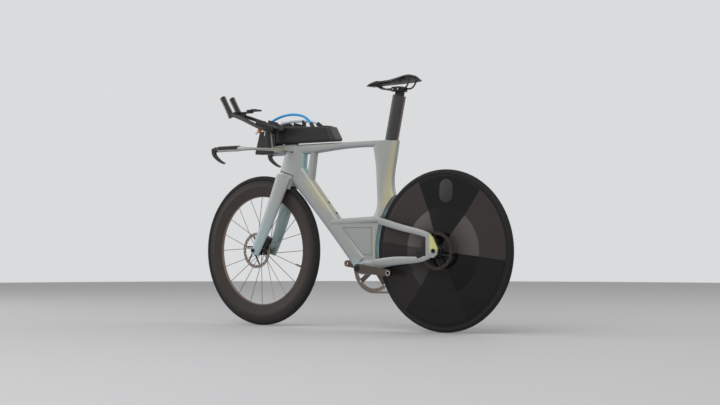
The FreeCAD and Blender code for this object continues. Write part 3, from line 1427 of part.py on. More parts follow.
SADDLE_NOSE = -109
SADDLE_STATIONS = (
    # share of the length, half width as a share of the tail's, rise of the edge, swell of the pad
    (0.0, 0.26, 2, 0.55), (0.05, 0.34, 0, 0.8), (0.3, 0.36, 2, 0.9), (0.5, 0.46, 4, 0.9), (0.7, 0.74, 8, 1.0),
    (0.86, 0.97, 12, 1.1), (0.96, 0.98, 15, 1.0), (1.0, 0.86, 17, 0.7))


def saddle_loft(sink, side, swell, draw, lean):
    """Saddle sections from nose to tail: sink below the edge, side wall, swell of the dome."""
    wires = []
    for share, wide, rise, crown_share in SADDLE_STATIONS:
        ahead = SADDLE_NOSE - num.saddle_length * share
        half = num.saddle_width / 2 * wide - draw
        crest = side + swell * crown_share
        wires.append(crowned_wire(ahead, half, num.saddle_level + rise - sink, side, crest, lean))
    return Part.makeLoft(wires, True, False)


def rail_route():
    level = num.saddle_level - num.rail_drop
    spread = num.rail_spread
    return (Vector(-148, 6, level + 26), Vector(-186, 15, level + 5), Vector(-218, spread, level),
            Vector(-328, spread, level), Vector(-345, spread + 5, level + 34))


def make_saddle():
    shell = saddle_loft(0, num.shell_thickness * 0.5, num.shell_thickness, 0, 2)
    pad = saddle_loft(-1.5, num.shell_thickness, num.saddle_crown, 0.8, 1.5).cut(shell)
    pad = max(pad.Solids, key=lambda solid: solid.Volume)
    left = hose("saddle_rail", rail_route(), num.rail_radius).cut(shell)
    left = max(left.Solids, key=lambda solid: solid.Volume)
    keep(shape_object("saddle_shell", shell), "saddle_shell")
    keep(shape_object("saddle_pad", pad), "saddle_pad")
    keep(shape_object("saddle_rails", pair(left)), "saddle_rails")


def make_saddle_clamp():
    level = num.saddle_level - num.rail_drop
    middle = seat(num.post_rise).x
    width = 2 * num.rail_spread + 16
    cradle = block("clamp_cradle", dim.clamp_length, width, 20,
                   Placement(Vector(middle - num.clamp_length / 2, -width / 2, level - 12), Rotation()))
    neck = block("clamp_neck", 36, dim.post_width - 6, 26,
                 Placement(seat(num.post_rise, -18, -(num.post_width - 6) / 2),
                           Rotation(SEAT_FORWARD, ACROSS, SEAT_UP, "XYZ")))
    grooves = []
    for name, side in (("left_rail_groove", 1), ("right_rail_groove", -1)):
        start = Vector(middle - num.clamp_length, side * num.rail_spread, level)
        grooves.append(cylinder(name, dim.rail_radius + dim.rail_fit, dim.clamp_length * 2, start,
                                Vector(1, 0, 0)))
    keep(cut("saddle_clamp", fuse("clamp_blank", cradle, neck), *grooves), "saddle_clamp")


# Wheels

def make_tyre(label, centre):
    tread = dim.tyre_width / 2
    bead = dim.rim_edge_radius
    casing = tread - dim.tyre_wall
    middle = dim.tyre_radius - tread
    outer_left = root(tread * tread - (middle - bead) * (middle - bead))
    inner_left = root(casing * casing - (middle - bead) * (middle - bead))
    corners = ((bead, -outer_left), (dim.tyre_radius, 0), (bead, outer_left), (bead, inner_left),
               (middle + casing, 0), (bead, -inner_left))
    arcs = {0: (tread, 1), 1: (tread, 1), 3: (casing, -1), 4: (casing, -1)}
    keep(spun(label, corners, centre, arcs), label)


RIM_SHOULDER = 26
RIM_EDGE_DRAW = 1.5


def make_front_rim():
    edge, half, nose = dim.rim_edge_radius, dim.rim_width / 2, dim.rim_nose_radius
    inner = edge - dim.front_rim_depth
    corners = ((edge, -(half - RIM_EDGE_DRAW)), (edge, half - RIM_EDGE_DRAW), (edge - RIM_SHOULDER, half),
               (inner + nose, nose), (inner, 0), (inner + nose, -nose), (edge - RIM_SHOULDER, -half))
    keep(spun("front_rim", corners, FRONT_AXLE, {3: (nose, 1), 4: (nose, 1)}), "front_rim")


HUB_END_GAP = 0.3
FRONT_FLANGE_RADIUS = 22
FRONT_FLANGE_LEFT = 22
FRONT_FLANGE_RIGHT = 32
REAR_FLANGE_RADIUS = 26
REAR_FLANGE_LEFT = 30
REAR_FLANGE_RIGHT = 19
ROTOR_SEAT_RADIUS = 17


def make_front_hub():
    bore = dim.axle_radius + dim.axle_fit
    end = dim.hub_space_front / 2 - HUB_END_GAP
    rotor = dim.hub_space_front / 2 - dim.rotor_inset_front
    flange, left, right = FRONT_FLANGE_RADIUS, FRONT_FLANGE_LEFT, FRONT_FLANGE_RIGHT
    corners = ((bore, -end), (9.5, -end), (9.5, -right - 6), (flange, -right - 1.5), (flange, -right + 1.5),
               (12, -right + 7), (12, left - 7), (flange, left - 1.5), (flange, left + 1.5),
               (ROTOR_SEAT_RADIUS, left + 4), (ROTOR_SEAT_RADIUS, rotor + 2), (10, rotor + 4), (9.5, end),
               (bore, end))
    keep(spun("front_hub", corners, FRONT_AXLE), "front_hub")


def make_rear_hub():
    bore = dim.axle_radius + dim.axle_fit
    end = dim.hub_space_rear / 2 - HUB_END_GAP
    rotor = dim.hub_space_rear / 2 - dim.rotor_inset_rear
    flange, left, right = REAR_FLANGE_RADIUS, REAR_FLANGE_LEFT, REAR_FLANGE_RIGHT
    corners = ((bore, -end), (9.5, -end), (10, -end + 3), (10, -right - 5), (flange, -right - 2.5),
               (flange, -right + 2.5), (14, -right + 8), (14, left - 8), (flange, left - 2.5),
               (flange, left + 2.5), (ROTOR_SEAT_RADIUS, left + 6), (ROTOR_SEAT_RADIUS, rotor + 2),
               (10, rotor + 4), (9.5, end), (bore, end))
    keep(spun("rear_hub", corners, REAR_AXLE), "rear_hub")


def around(centre, radius, angle, left):
    return centre + Vector(radius * math.cos(angle), left, radius * math.sin(angle))


SPOKE_SLANT = math.radians(42)


def make_spokes():
    """Straight spokes: one flange leans them forward, the other back, so none cross."""
    count = int(num.spoke_count)
    inner = num.rim_edge_radius - num.front_rim_depth
    hub_and_rim = (nodes["front_hub"].Shape, nodes["front_rim"].Shape)
    spokes = []
    for index in range(count):
        angle = 2 * math.pi * index / count
        side = 1 if index % 2 else -1
        flange_left = FRONT_FLANGE_LEFT if side > 0 else -FRONT_FLANGE_RIGHT
        start = around(FRONT_AXLE, FRONT_FLANGE_RADIUS - 1.5, angle - side * SPOKE_SLANT, flange_left)
        end = around(FRONT_AXLE, inner + 4, angle, side * 1.5)
        spoke = round_bar(start, end, num.spoke_radius)
        for shape in hub_and_rim:
            spoke = spoke.cut(shape)
        spokes.append(max(spoke.Solids, key=lambda solid: solid.Volume))
    keep(shape_object("front_spokes", Part.makeCompound(spokes)), "front_spokes")


ROTOR_ARMS = 6
ROTOR_ARM_WIDTH = 7
ROTOR_HOLES = 30
ROTOR_HOLE_RADIUS = 2.4


def make_rotor(label, centre, left):
    thickness = num.rotor_thickness
    origin = centre + ACROSS * (left - thickness / 2)

    def disc(radius):
        return Part.makeCylinder(radius, thickness, origin, ACROSS)

    band_inner = num.rotor_radius - num.rotor_band
    band = disc(num.rotor_radius).cut(disc(band_inner))
    arms = []
    for index in range(ROTOR_ARMS):
        angle = 360 * index / ROTOR_ARMS
        arm = Part.makeBox(band_inner + 2 - ROTOR_SEAT_RADIUS, thickness, ROTOR_ARM_WIDTH,
                           Vector(ROTOR_SEAT_RADIUS, 0, ROTOR_SEAT_RADIUS - ROTOR_ARM_WIDTH + 3))
        arm.rotate(Vector(0, 0, 0), ACROSS, angle)
        arm.translate(origin)
        arms.append(arm)
    whole = band.multiFuse(arms + [disc(ROTOR_SEAT_RADIUS + 8)])
    holes = []
    for index in range(ROTOR_HOLES):
        angle = 2 * math.pi * index / ROTOR_HOLES
        radius = band_inner + num.rotor_band * (0.3 if index % 2 else 0.7)
        spot = around(origin, radius, angle, 0)
        holes.append(Part.makeCylinder(ROTOR_HOLE_RADIUS, thickness, spot, ACROSS))
    whole = whole.cut(disc(ROTOR_SEAT_RADIUS)).cut(Part.makeCompound(holes))
    keep(shape_object(label, whole), label)


DISC_DOME_RADIUS = 182
DISC_RIM_DEPTH = 21


def make_rear_disc():
    edge, half, wall = dim.rim_edge_radius, dim.rim_width / 2, dim.rim_wall
    flange, left, right = REAR_FLANGE_RADIUS, REAR_FLANGE_LEFT, REAR_FLANGE_RIGHT
    dome, shoulder, bed = DISC_DOME_RADIUS, edge - 17, edge - DISC_RIM_DEPTH
    waist = half - 2
    swell = as_size(900)
    corners = ((flange, -right - 1), (dome, -waist), (shoulder, -half), (edge, -(half - RIM_EDGE_DRAW)),
               (edge, half - RIM_EDGE_DRAW), (shoulder, half), (dome, waist), (flange, left + 1),
               (flange, left + 1 - wall), (dome, waist - wall), (bed, half - wall), (bed, -(half - wall)),
               (dome, -(waist - wall)), (flange, -right - 1 + wall))
    keep(spun("rear_disc", corners, REAR_AXLE, {6: (swell, 1)}), "rear_disc")


# Drive

def pitch_radius(teeth):
    return num.chain_pitch / 2 / math.sin(math.pi / teeth)


def toothed(teeth, thickness, bore, centre, left, phase, flank):
    """A toothed wheel with round roller seats on its pitch circle, the first at the phase angle."""
    pitch = pitch_radius(teeth)
    seat_radius = num.roller_radius + num.roller_play
    tip = pitch + num.tooth_height
    tip_half = seat_radius + flank
    origin = centre + ACROSS * (left - thickness / 2)

    def spot(angle, radial, aside):
        return origin + Vector(radial * math.cos(angle) - aside * math.sin(angle), 0,
                               radial * math.sin(angle) + aside * math.cos(angle))

    edges = []
    step = 2 * math.pi / teeth
    for index in range(teeth):
        here = phase + step * index
        after = here + step
        enter = spot(here, pitch, -seat_radius)
        leave = spot(here, pitch, seat_radius)
        first_tip = spot(here, tip, tip_half)
        last_tip = spot(after, tip, -tip_half)
        edges.append(Part.Arc(enter, spot(here, pitch - seat_radius, 0), leave).toShape())
        edges.append(Part.LineSegment(leave, first_tip).toShape())
        edges.append(Part.LineSegment(first_tip, last_tip).toShape())
        edges.append(Part.LineSegment(last_tip, spot(after, pitch, -seat_radius)).toShape())
    face = Part.Face(Part.Wire(edges))
    solid = face.extrude(ACROSS * thickness)
    return solid.cut(Part.makeCylinder(bore, thickness, origin, ACROSS))


GUIDE = REAR_AXLE + Vector(num.guide_lead, 0, -num.guide_drop)
COGS = (11, 12, 13, 14, 15, 17, 19, 21, 24, 27, 30)
COG_IN_USE = 17


def tension_place(swing):
    """Middle of the tension pulley when the cage points forward of straight down by swing."""
    return GUIDE + Vector(math.sin(swing), 0, -math.cos(swing)) * num.cage_length


def chain_circles(swing):
    """Centre, pitch radius and sense of the toothed wheels, in the order the chain passes them."""
    return ((CRANK, pitch_radius(num.ring_teeth), 1), (REAR_AXLE, pitch_radius(COG_IN_USE), 1),
            (GUIDE, pitch_radius(num.pulley_teeth), -1),
            (tension_place(swing), pitch_radius(num.pulley_teeth), 1))


def tangent(first, second):
    """End points of the straight run between two circles, keeping both senses of turn."""
    (start, first_radius, first_sense), (end, second_radius, second_sense) = first, second
    span = end - start
    lean = math.acos((second_sense * second_radius - first_sense * first_radius) / span.Length)
    angle = math.atan2(span.z, span.x) + lean
    normal = Vector(math.cos(angle), 0, math.sin(angle))
    return start - normal * (first_sense * first_radius), end - normal * (second_sense * second_radius)


class ChainLoop:
    """The chain's centre line for one swing of the cage: an arc on each wheel, then a straight run."""

    def __init__(self, swing):
        circles = chain_circles(swing)
        count = len(circles)
        runs = [tangent(circles[index], circles[(index + 1) % count]) for index in range(count)]
        self.pieces = []
        self.length = 0
        for index, (centre, radius, sense) in enumerate(circles):
            arriving = runs[index - 1][1]
            leaving, landing = runs[index]
            first = math.atan2(arriving.z - centre.z, arriving.x - centre.x)
            last = math.atan2(leaving.z - centre.z, leaving.x - centre.x)
            turn = (sense * (last - first)) % (2 * math.pi)
            self.pieces.append((self.length, radius * turn, (centre, radius, sense, first)))
            self.length += radius * turn
            self.pieces.append((self.length, (landing - leaving).Length, (leaving, landing)))
            self.length += (landing - leaving).Length

    def at(self, distance):
        distance %= self.length
        for start, length, shape in self.pieces:
            if distance <= start + length:
                break
        gone = distance - start
        if len(shape) == 2:
            leaving, landing = shape
            return leaving + (landing - leaving) * (gone / length)
        centre, radius, sense, first = shape
        return around(centre, radius, first + sense * gone / radius, 0)

    def walk(self):
        """Distances of the pins, one pitch apart, until the loop is passed."""
        pins = [0.0]
        while pins[-1] < self.length:
            here = self.at(pins[-1])
            near, far = pins[-1] + num.chain_pitch, pins[-1] + num.chain_pitch * 1.1
            for _ in range(30):
                middle = (near + far) / 2
                if (self.at(middle) - here).Length < num.chain_pitch:
                    near = middle
                else:
                    far = middle
            pins.append(near)
        return pins


def closed_chain():
    """The cage swing at which an even count of links closes, with that loop and its pins."""
    def spare(swing):
        loop = ChainLoop(swing)
        pins = loop.walk()
        return pins[links] - loop.length if len(pins) > links else num.chain_pitch

    middle_swing = math.radians(32)
    links = len(ChainLoop(middle_swing).walk()) // 2 * 2 - 2
    low, high = math.radians(-10), math.radians(80)
    for _ in range(26):
        middle = (low + high) / 2
        if (spare(middle) > 0) == (spare(low) > 0):
            low = middle
        else:
            high = middle
    loop = ChainLoop(low)
    print(f"chain: {links} links, cage swing {math.degrees(low):.2f}, length {loop.length:.1f}")
    return low, loop, loop.walk()[:links]


CAGE_SWING, CHAIN, PINS = closed_chain()
PIN_SPOTS = [CHAIN.at(distance) for distance in PINS]
TENSION = tension_place(CAGE_SWING)


def phase_on(centre, teeth):
    """Angle of a pin that sits on the pitch circle of a wheel."""
    gaps = [abs((spot - centre).Length - pitch_radius(teeth)) for spot in PIN_SPOTS]
    best = PIN_SPOTS[gaps.index(min(gaps))]
    return math.atan2(best.z - centre.z, best.x - centre.x)


LINK_END_RADIUS = 4.2
ROLLER_HALF = 1.1
INNER_PLATE = 0.8
OUTER_PLATE = 0.65
PLATE_PLAY = 0.05


def link_plate(low, thickness):
    end, pitch = LINK_END_RADIUS, num.chain_pitch
    edges = [Part.LineSegment(Vector(0, low, -end), Vector(pitch, low, -end)).toShape(),
             Part.Arc(Vector(pitch, low, -end), Vector(pitch + end, low, 0),
                      Vector(pitch, low, end)).toShape(),
             Part.LineSegment(Vector(pitch, low, end), Vector(0, low, end)).toShape(),
             Part.Arc(Vector(0, low, end), Vector(-end, low, 0), Vector(0, low, -end)).toShape()]
    return Part.Face(Part.Wire(edges)).extrude(ACROSS * thickness)


def inner_link():
    rollers = [Part.makeCylinder(num.roller_radius, 2 * ROLLER_HALF, Vector(ahead, -ROLLER_HALF, 0), ACROSS)
               for ahead in (0, num.chain_pitch)]
    plates = [link_plate(ROLLER_HALF, INNER_PLATE), link_plate(-ROLLER_HALF - INNER_PLATE, INNER_PLATE)]
    return plates[0].multiFuse(rollers + plates[1:])


def outer_link():
    low = ROLLER_HALF + INNER_PLATE + PLATE_PLAY
    return Part.makeCompound([link_plate(low, OUTER_PLATE), link_plate(-low - OUTER_PLATE, OUTER_PLATE)])


def make_chain():
    kinds = (inner_link(), outer_link())
    links = []
    for index, spot in enumerate(PIN_SPOTS):
        after = PIN_SPOTS[(index + 1) % len(PIN_SPOTS)]
        slope = math.degrees(math.atan2(after.z - spot.z, after.x - spot.x))
        link = kinds[index % 2].copy()
        link.Placement = Placement(spot - ACROSS * num.chain_line, Rotation(ACROSS, -slope))
        links.append(link)
    keep(shape_object("chain", Part.makeCompound(links)), "chain")


def make_cassette():
    bore = dim.axle_radius + 4 + dim.axle_fit
    in_use = COGS.index(COG_IN_USE)
    pieces = []
    lefts = []
    for index, teeth in enumerate(COGS):
        left = -num.chain_line + (index - in_use) * num.cog_step
        lefts.append(left)
        phase = phase_on(REAR_AXLE, COG_IN_USE) if teeth == COG_IN_USE else math.pi / 2
        pieces.append(toothed(teeth, num.ring_thickness, num.freehub_radius, REAR_AXLE, left, phase,
                              num.tooth_flank))
    first, last = lefts[0] - 2, lefts[-1] + 2
    sleeve = Part.makeCylinder(num.freehub_radius, last - first, REAR_AXLE + ACROSS * first, ACROSS)
    sleeve = sleeve.cut(Part.makeCylinder(bore.number, last - first, REAR_AXLE + ACROSS * first, ACROSS))
    keep(shape_object("cassette", Part.makeCompound(pieces + [sleeve])), "cassette")


RING_SEAT = 9


def ring_bore():
    return pitch_radius(num.ring_teeth) + num.tooth_height - num.ring_band


def make_chainring():
    phase = phase_on(CRANK, num.ring_teeth)
    whole = toothed(int(num.ring_teeth), num.ring_thickness, ring_bore(), CRANK, -num.chain_line, phase,
                    num.tooth_flank)
    keep(shape_object("chainring", whole), "chainring")


def crank_arm(label, face, angle):
    eye, tip, length = dim.crank_eye_radius, dim.crank_tip_radius, dim.crank_length
    corners = ((0, eye), (-eye, 0), (0, -eye), (length, -tip), (length + tip, 0), (length, tip))
    arcs = {0: (eye, 1), 1: (eye, 1), 3: (tip, 1), 4: (tip, 1)}
    return padded(label, "XZ_Plane", corners, dim.crank_thickness,
                  Placement(CRANK + ACROSS * face, Rotation(ACROSS, angle)), arcs)


def pedal_place(side):
    slope = math.radians(num.crank_angle)
    return CRANK + Vector(-side * math.cos(slope), 0, -side * math.sin(slope)) * num.crank_length


SPINDLE_SINK = 2
SPIDER_ARMS = 4


def make_cranks():
    left_arm = crank_arm("left_arm", num.crank_face, 180 - num.crank_angle)
    left_hole = cylinder("left_pedal_hole", dim.pedal_hole_radius, 60, pedal_place(1) + ACROSS * 40, ACROSS)
    left_seat = cylinder("left_spindle_seat", dim.spindle_radius, 60, CRANK + ACROSS * 40, ACROSS)
    keep(cut("left_crank_arm", left_arm, left_hole, left_seat), "left_crank_arm")
    inner_face = num.crank_face - num.crank_thickness
    right_arm = crank_arm("right_arm", -inner_face, -num.crank_angle)
    spindle_length = dim.crank_face * 2 - dim.crank_thickness - 2 * SPINDLE_SINK
    spindle = cylinder("spindle", dim.spindle_radius, spindle_length,
                       CRANK + ACROSS * (num.crank_face - SPINDLE_SINK), ACROSS * -1)
    spider_face = dim.chain_line + dim.ring_thickness / 2
    hub = cylinder("spider_hub", dim.crank_eye_radius + 5, dim.crank_face - dim.crank_thickness - spider_face,
                   CRANK - ACROSS * spider_face.number, ACROSS * -1)
    arms = []
    for index in range(SPIDER_ARMS):
        turn = Rotation(ACROSS, 45 - num.crank_angle + 360 / SPIDER_ARMS * index)
        corner = Vector(0, -(spider_face + dim.spider_thickness).number, -num.spider_arm_width / 2)
        arms.append(block(f"spider_arm_{index + 1}", ring_bore() + RING_SEAT, dim.spider_thickness,
                          dim.spider_arm_width, Placement(CRANK + turn.multVec(corner), turn)))
    right_hole = cylinder("right_pedal_hole", dim.pedal_hole_radius, 60,
                          pedal_place(-1) - ACROSS * 40, ACROSS * -1)
    keep(cut("right_crank_arm", fuse("right_crank_blank", right_arm, spindle, hub, *arms), right_hole),
         "right_crank_arm")


KNUCKLE_RADIUS = 11
KNUCKLE_LENGTH = 17
CAGE_STUB_RADIUS = 5
CAGE_STUB_LENGTH = 8
CAGE_END_RADIUS = 10
COLLAR_WALL = 3.5
COLLAR_PLAY = 0.1


def make_derailleur():
    cage_outer = num.chain_line + num.cage_gap / 2 + num.cage_plate
    hanger_face = num.hub_space_rear / 2 + num.dropout_thickness + num.hanger_thickness
    bolt = REAR_AXLE + HANGER_BOLT
    upper = round_bar(bolt - ACROSS * hanger_face, bolt - ACROSS * (hanger_face + 14), KNUCKLE_RADIUS - 1)
    knuckle_start = GUIDE - ACROSS * (cage_outer + 1)
    lower = round_bar(knuckle_start, knuckle_start - ACROSS * KNUCKLE_LENGTH, KNUCKLE_RADIUS)
    link_top = bolt - ACROSS * (hanger_face + 7)
    link_foot = GUIDE - ACROSS * (cage_outer + KNUCKLE_LENGTH / 2 + 2)
    link = loft(section(link_top, Vector(1, 0, 0), ACROSS, 24, 13, 3.0),
                section((link_top + link_foot) / 2 + Vector(6, 0, 0), Vector(1, 0, 0), ACROSS, 27, 17, 3.0),
                section(link_foot, Vector(1, 0, 0), ACROSS, 20, 13, 3.0))
    room_corner = Vector(bolt.x - 40, -hanger_face, bolt.z - HANGER_EYE - 1)
    hanger_room = Part.makeBox(80, hanger_face, 80, room_corner)
    link = link.cut(hanger_room)
    bore_end = knuckle_start - ACROSS * CAGE_STUB_LENGTH
    bore = round_bar(knuckle_start, bore_end, CAGE_STUB_RADIUS + num.axle_fit)
    keep(shape_object("derailleur_body", upper.multiFuse([lower, link]).cut(bore)), "derailleur_body")


def cage_plate(left):
    along = unit(TENSION - GUIDE)
    aside = Vector(-along.z, 0, along.x)
    end = CAGE_END_RADIUS
    lift = ACROSS * left
    edges = [Part.LineSegment(GUIDE + aside * end + lift, TENSION + aside * end + lift).toShape(),
             Part.Arc(TENSION + aside * end + lift, TENSION + along * end + lift,
                      TENSION - aside * end + lift).toShape(),
             Part.LineSegment(TENSION - aside * end + lift, GUIDE - aside * end + lift).toShape(),
             Part.Arc(GUIDE - aside * end + lift, GUIDE - along * end + lift,
                      GUIDE + aside * end + lift).toShape()]
    return Part.Face(Part.Wire(edges)).extrude(ACROSS * num.cage_plate)


def make_cage():
    inner_face = -num.chain_line + num.cage_gap / 2
    outer_face = -num.chain_line - num.cage_gap / 2 - num.cage_plate
    whole = cage_plate(inner_face)
    pieces = [cage_plate(outer_face)]
    for spot in (GUIDE, TENSION):
        pieces.append(round_bar(spot + ACROSS * outer_face, spot + ACROSS * (inner_face + num.cage_plate),
                                num.pulley_pin_radius))
    pieces.append(round_bar(GUIDE + ACROSS * outer_face, GUIDE + ACROSS * (outer_face - CAGE_STUB_LENGTH),
                            CAGE_STUB_RADIUS))
    keep(shape_object("derailleur_cage", whole.multiFuse(pieces)), "derailleur_cage")
    collar_half = num.cage_gap / 2 - COLLAR_PLAY
    teeth = int(num.pulley_teeth)
    bore = num.pulley_pin_radius + num.axle_fit
    for label, spot in (("guide_pulley", GUIDE), ("tension_pulley", TENSION)):
        wheel = toothed(teeth, num.pulley_thickness, bore, spot, -num.chain_line, phase_on(spot, teeth),
                        num.pulley_flank)
        near = spot - ACROSS * (num.chain_line - collar_half)
        far = spot - ACROSS * (num.chain_line + collar_half)
        collar = round_bar(near, far, bore + COLLAR_WALL)
        hole = round_bar(near, far, bore)
        keep(shape_object(label, wheel.fuse(collar).cut(hole)), label)


make_frame()
make_bearings()
make_axles()
make_hanger()
make_rear_brake()
make_fork()
make_front_brake()
make_base_bar()
make_bar_grips()
make_levers()
make_stem()
make_arm_cups()
make_arm_pads()
make_hand_grips()
doc.recompute()
make_extensions()
make_risers()
make_computer_mount()
make_storage()
make_tank_cap()
make_nose_tank()
doc.recompute()
make_hoses()
make_seatpost()
make_saddle()
make_saddle_clamp()
make_tyre("front_tyre", FRONT_AXLE)
make_front_rim()
make_front_hub()
doc.recompute()
make_spokes()
make_rotor("front_rotor", FRONT_AXLE, num.hub_space_front / 2 - num.rotor_inset_front)
make_tyre("rear_tyre", REAR_AXLE)
make_rear_disc()
make_rear_hub()
make_rotor("rear_rotor", REAR_AXLE, num.hub_space_rear / 2 - num.rotor_inset_rear)
make_cassette()
make_cranks()
make_chainring()
make_chain()
make_derailleur()
make_cage()
doc.recompute()

# Every object must be sound before anything is written

for thing in doc.Objects:
    if "Invalid" in thing.State or "Error" in thing.State:
        raise RuntimeError(f"{thing.Label} is in state {thing.State}")
for label, thing in nodes.items():
    if thing.Shape.isNull() or not thing.Shape.isValid():
        raise RuntimeError(f"{label} has no sound shape")
os.makedirs("parts", exist_ok=True)
for label, thing in nodes.items():
    thing.Shape.exportStep(f"parts/{label}.step")
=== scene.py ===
"""Time trial bike: its finishes, soft pieces, small trim and studio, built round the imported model."""

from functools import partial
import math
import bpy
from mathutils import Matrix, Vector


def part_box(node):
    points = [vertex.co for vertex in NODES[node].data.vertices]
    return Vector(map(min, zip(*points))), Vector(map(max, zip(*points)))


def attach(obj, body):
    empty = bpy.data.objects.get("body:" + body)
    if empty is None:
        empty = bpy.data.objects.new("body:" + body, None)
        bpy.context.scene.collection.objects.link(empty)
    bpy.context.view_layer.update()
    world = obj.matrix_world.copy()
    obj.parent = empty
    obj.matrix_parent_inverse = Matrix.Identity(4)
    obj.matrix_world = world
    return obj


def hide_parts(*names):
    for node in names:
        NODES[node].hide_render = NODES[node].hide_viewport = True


bl_info = {
    "name": "Time trial bike",
    "version": (1, 0, 0),
    "blender": (4, 5, 0),
    "location": "View3D > Sidebar > Bike",
    "description": "Dresses the packed time trial bike with its finishes, soft pieces, trim and studio",
    "category": "Object",
}

import bmesh
import bpy
from bpy.props import FloatProperty, FloatVectorProperty, IntProperty, PointerProperty
from mathutils import Matrix, Vector

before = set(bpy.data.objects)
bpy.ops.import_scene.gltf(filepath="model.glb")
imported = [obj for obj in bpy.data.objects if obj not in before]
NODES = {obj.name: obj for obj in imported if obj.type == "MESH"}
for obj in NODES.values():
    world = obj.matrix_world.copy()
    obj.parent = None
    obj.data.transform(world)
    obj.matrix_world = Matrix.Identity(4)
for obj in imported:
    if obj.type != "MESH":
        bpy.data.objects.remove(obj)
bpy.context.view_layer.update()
SHARP_EDGE = math.radians(32)
ACROSS = Vector((0, 1, 0))
REAR_AXLE = Vector((-0.505, 0, 0.3385))
FRONT_AXLE = Vector((0.505, 0, 0.3385))
CRANK = Vector((-0.10192, 0, 0.2635))
SEAT_TOP = Vector((-0.2329, 0, 0.812))
SEAT_BACK = Vector((-0.977, 0, -0.213))
DOWN_TUBE = Vector((0.0988, 0, 0.4767))
DOWN_TUBE_UP = Vector((-0.735, 0, 0.678))
STEER_FOOT = Vector((0.46197, 0, 0.32534))
STEER_UP = Vector((-0.29237, 0, 0.95631))
HAND_TOP = Vector((0.727, 0, 1.046))
HAND_AHEAD = Vector((0.848, 0, -0.530))
HAND_ASIDE = 0.031
BOX_TAIL = Vector((0.0569, 0, 0.812))
BOX_AHEAD = Vector((0.909, 0, -0.418))
COVER_TOP = 0.438
COVER_FOOT = 0.3215
COVER_TAIL = -0.1413
COVER_NOSE = Vector((0.0141, 0, 0.438))
CUP_REAR = Vector((0.337, 0, 0.868))
CUP_UP = Vector((-0.2419, 0, 0.9703))

# Where a finish changes, in metres: from and to, and for a band also how soft its edges are
UPPER_FACE = (0.010, 0.050, 0.016)
UPPER_FACE_HEIGHT = (0.51, 0.655, 0.03)
UNDER_TUBE_LOW = (-0.060, -0.052)
UNDER_TUBE_HIGH = (-0.034, -0.014)
UNDER_TUBE_REAR = (-0.08, 0.0)
UNDER_TUBE_FRONT = (0.285, 0.300)
SEAT_EDGE = (-0.004, 0.040)
SEAT_EDGE_HEIGHT = (0.49, 0.55)
SEAT_EDGE_FRONT = (-0.16, -0.14)
SHELL_FOOT_HEIGHT = (0.262, 0.318)
SHELL_FOOT_LENGTH = (-0.11, 0.04, 0.05)
FORK_REAR = (0.33, 0.36)
FORK_FOOT_HEIGHT = (0.34, 0.62)
DROPOUT_FRONT = (-0.494, -0.476)
DROPOUT_HEIGHT = (0.326, 0.352)
HOLLOW_RADIUS = (0.3430, 0.3482, 0.0006)
HOLLOW_TOP = (0.48, 0.54)
INNER_SIDE = (0.008, 0.028)
INNER_TOP = (0.75, 0.76)
SLOT_LENGTH = (0.229, 0.262, 0.003)
SLOT_HEIGHT = (0.62, 0.80, 0.01)
CROWN_SHADOW_LINE = (0.3772, 0.3816, 0.0005)
CROWN_REAR = (0.296, 0.302)
OUTER_SIDE = (0.006, 0.010)
COVER_GAP_SHADE = (-0.0016, 0.0006, 0.0007)
COVER_BEVEL_SHADE = (0.0050, 0.0068, 0.0010)
REAR_LINE = (-0.1545, -0.1500, 0.0015)
REAR_LINE_HEIGHT = (0.30, 0.445, 0.01)
BAR_ROOT = (0.372, 0.402)
BAR_HOLDER = (0.5962, 0.5972)
BOX_SHEEN_BAND = (0.009, 0.0160, 0.0026)
RIM_TYRE_EDGE = (0.292, 0.314)
RIM_INNER_HIGHLIGHT = (0.2452, 0.2476)
DISC_TYRE_EDGE = (0.3095, 0.3125)
DOME_EDGE = (0.176, 0.186)
DOME_RISE = (0.04, 0.178)
TREAD_HALF = (0.0075, 0.0095)
GRIP_REAR = (-0.0105, -0.0095)
GRIP_REAR_HIGHLIGHT = (0.0020, 0.0032)
GRIP_SIDE_HIGHLIGHT = (0.0030, 0.0074, 0.0007)
ROTOR_BAND = (0.0652, 0.0660)

# The disc's layup: where its first sector begins, its sectors, and each lighter sector's number and share
# of painted sheen
DISC_SEAM = math.radians(607.0)
DISC_SECTORS = 6.0
SECTOR_SOFT = 0.01
SECTOR_SHEEN = ((1.0, 0.9), (3.0, 1.0), (4.0, 0.4), (5.0, 0.08))

# Patterns: cells in each metre, or radians of a wave in each metre or in each radian round an axle
FLAKE_SCALE = 2600.0
PIP_SCALE = 420.0
LEATHER_SCALE = 900.0
WEAVE_SCALE = 5200.0
TREAD_ROWS = 720.0
TREAD_SLANT = 5200.0
WALL_LINES = 4200.0


# Sizes and colours


def length(name, description, default):
    """A size in metres that a user may change."""
    return FloatProperty(name=name, description=description, default=default, unit="LENGTH", min=0.0)


def colour(name, description, default):
    """A linear colour that a user may change."""
    return FloatVectorProperty(
        name=name, description=description, default=default, subtype="COLOR", size=3, min=0.0, max=1.0
    )


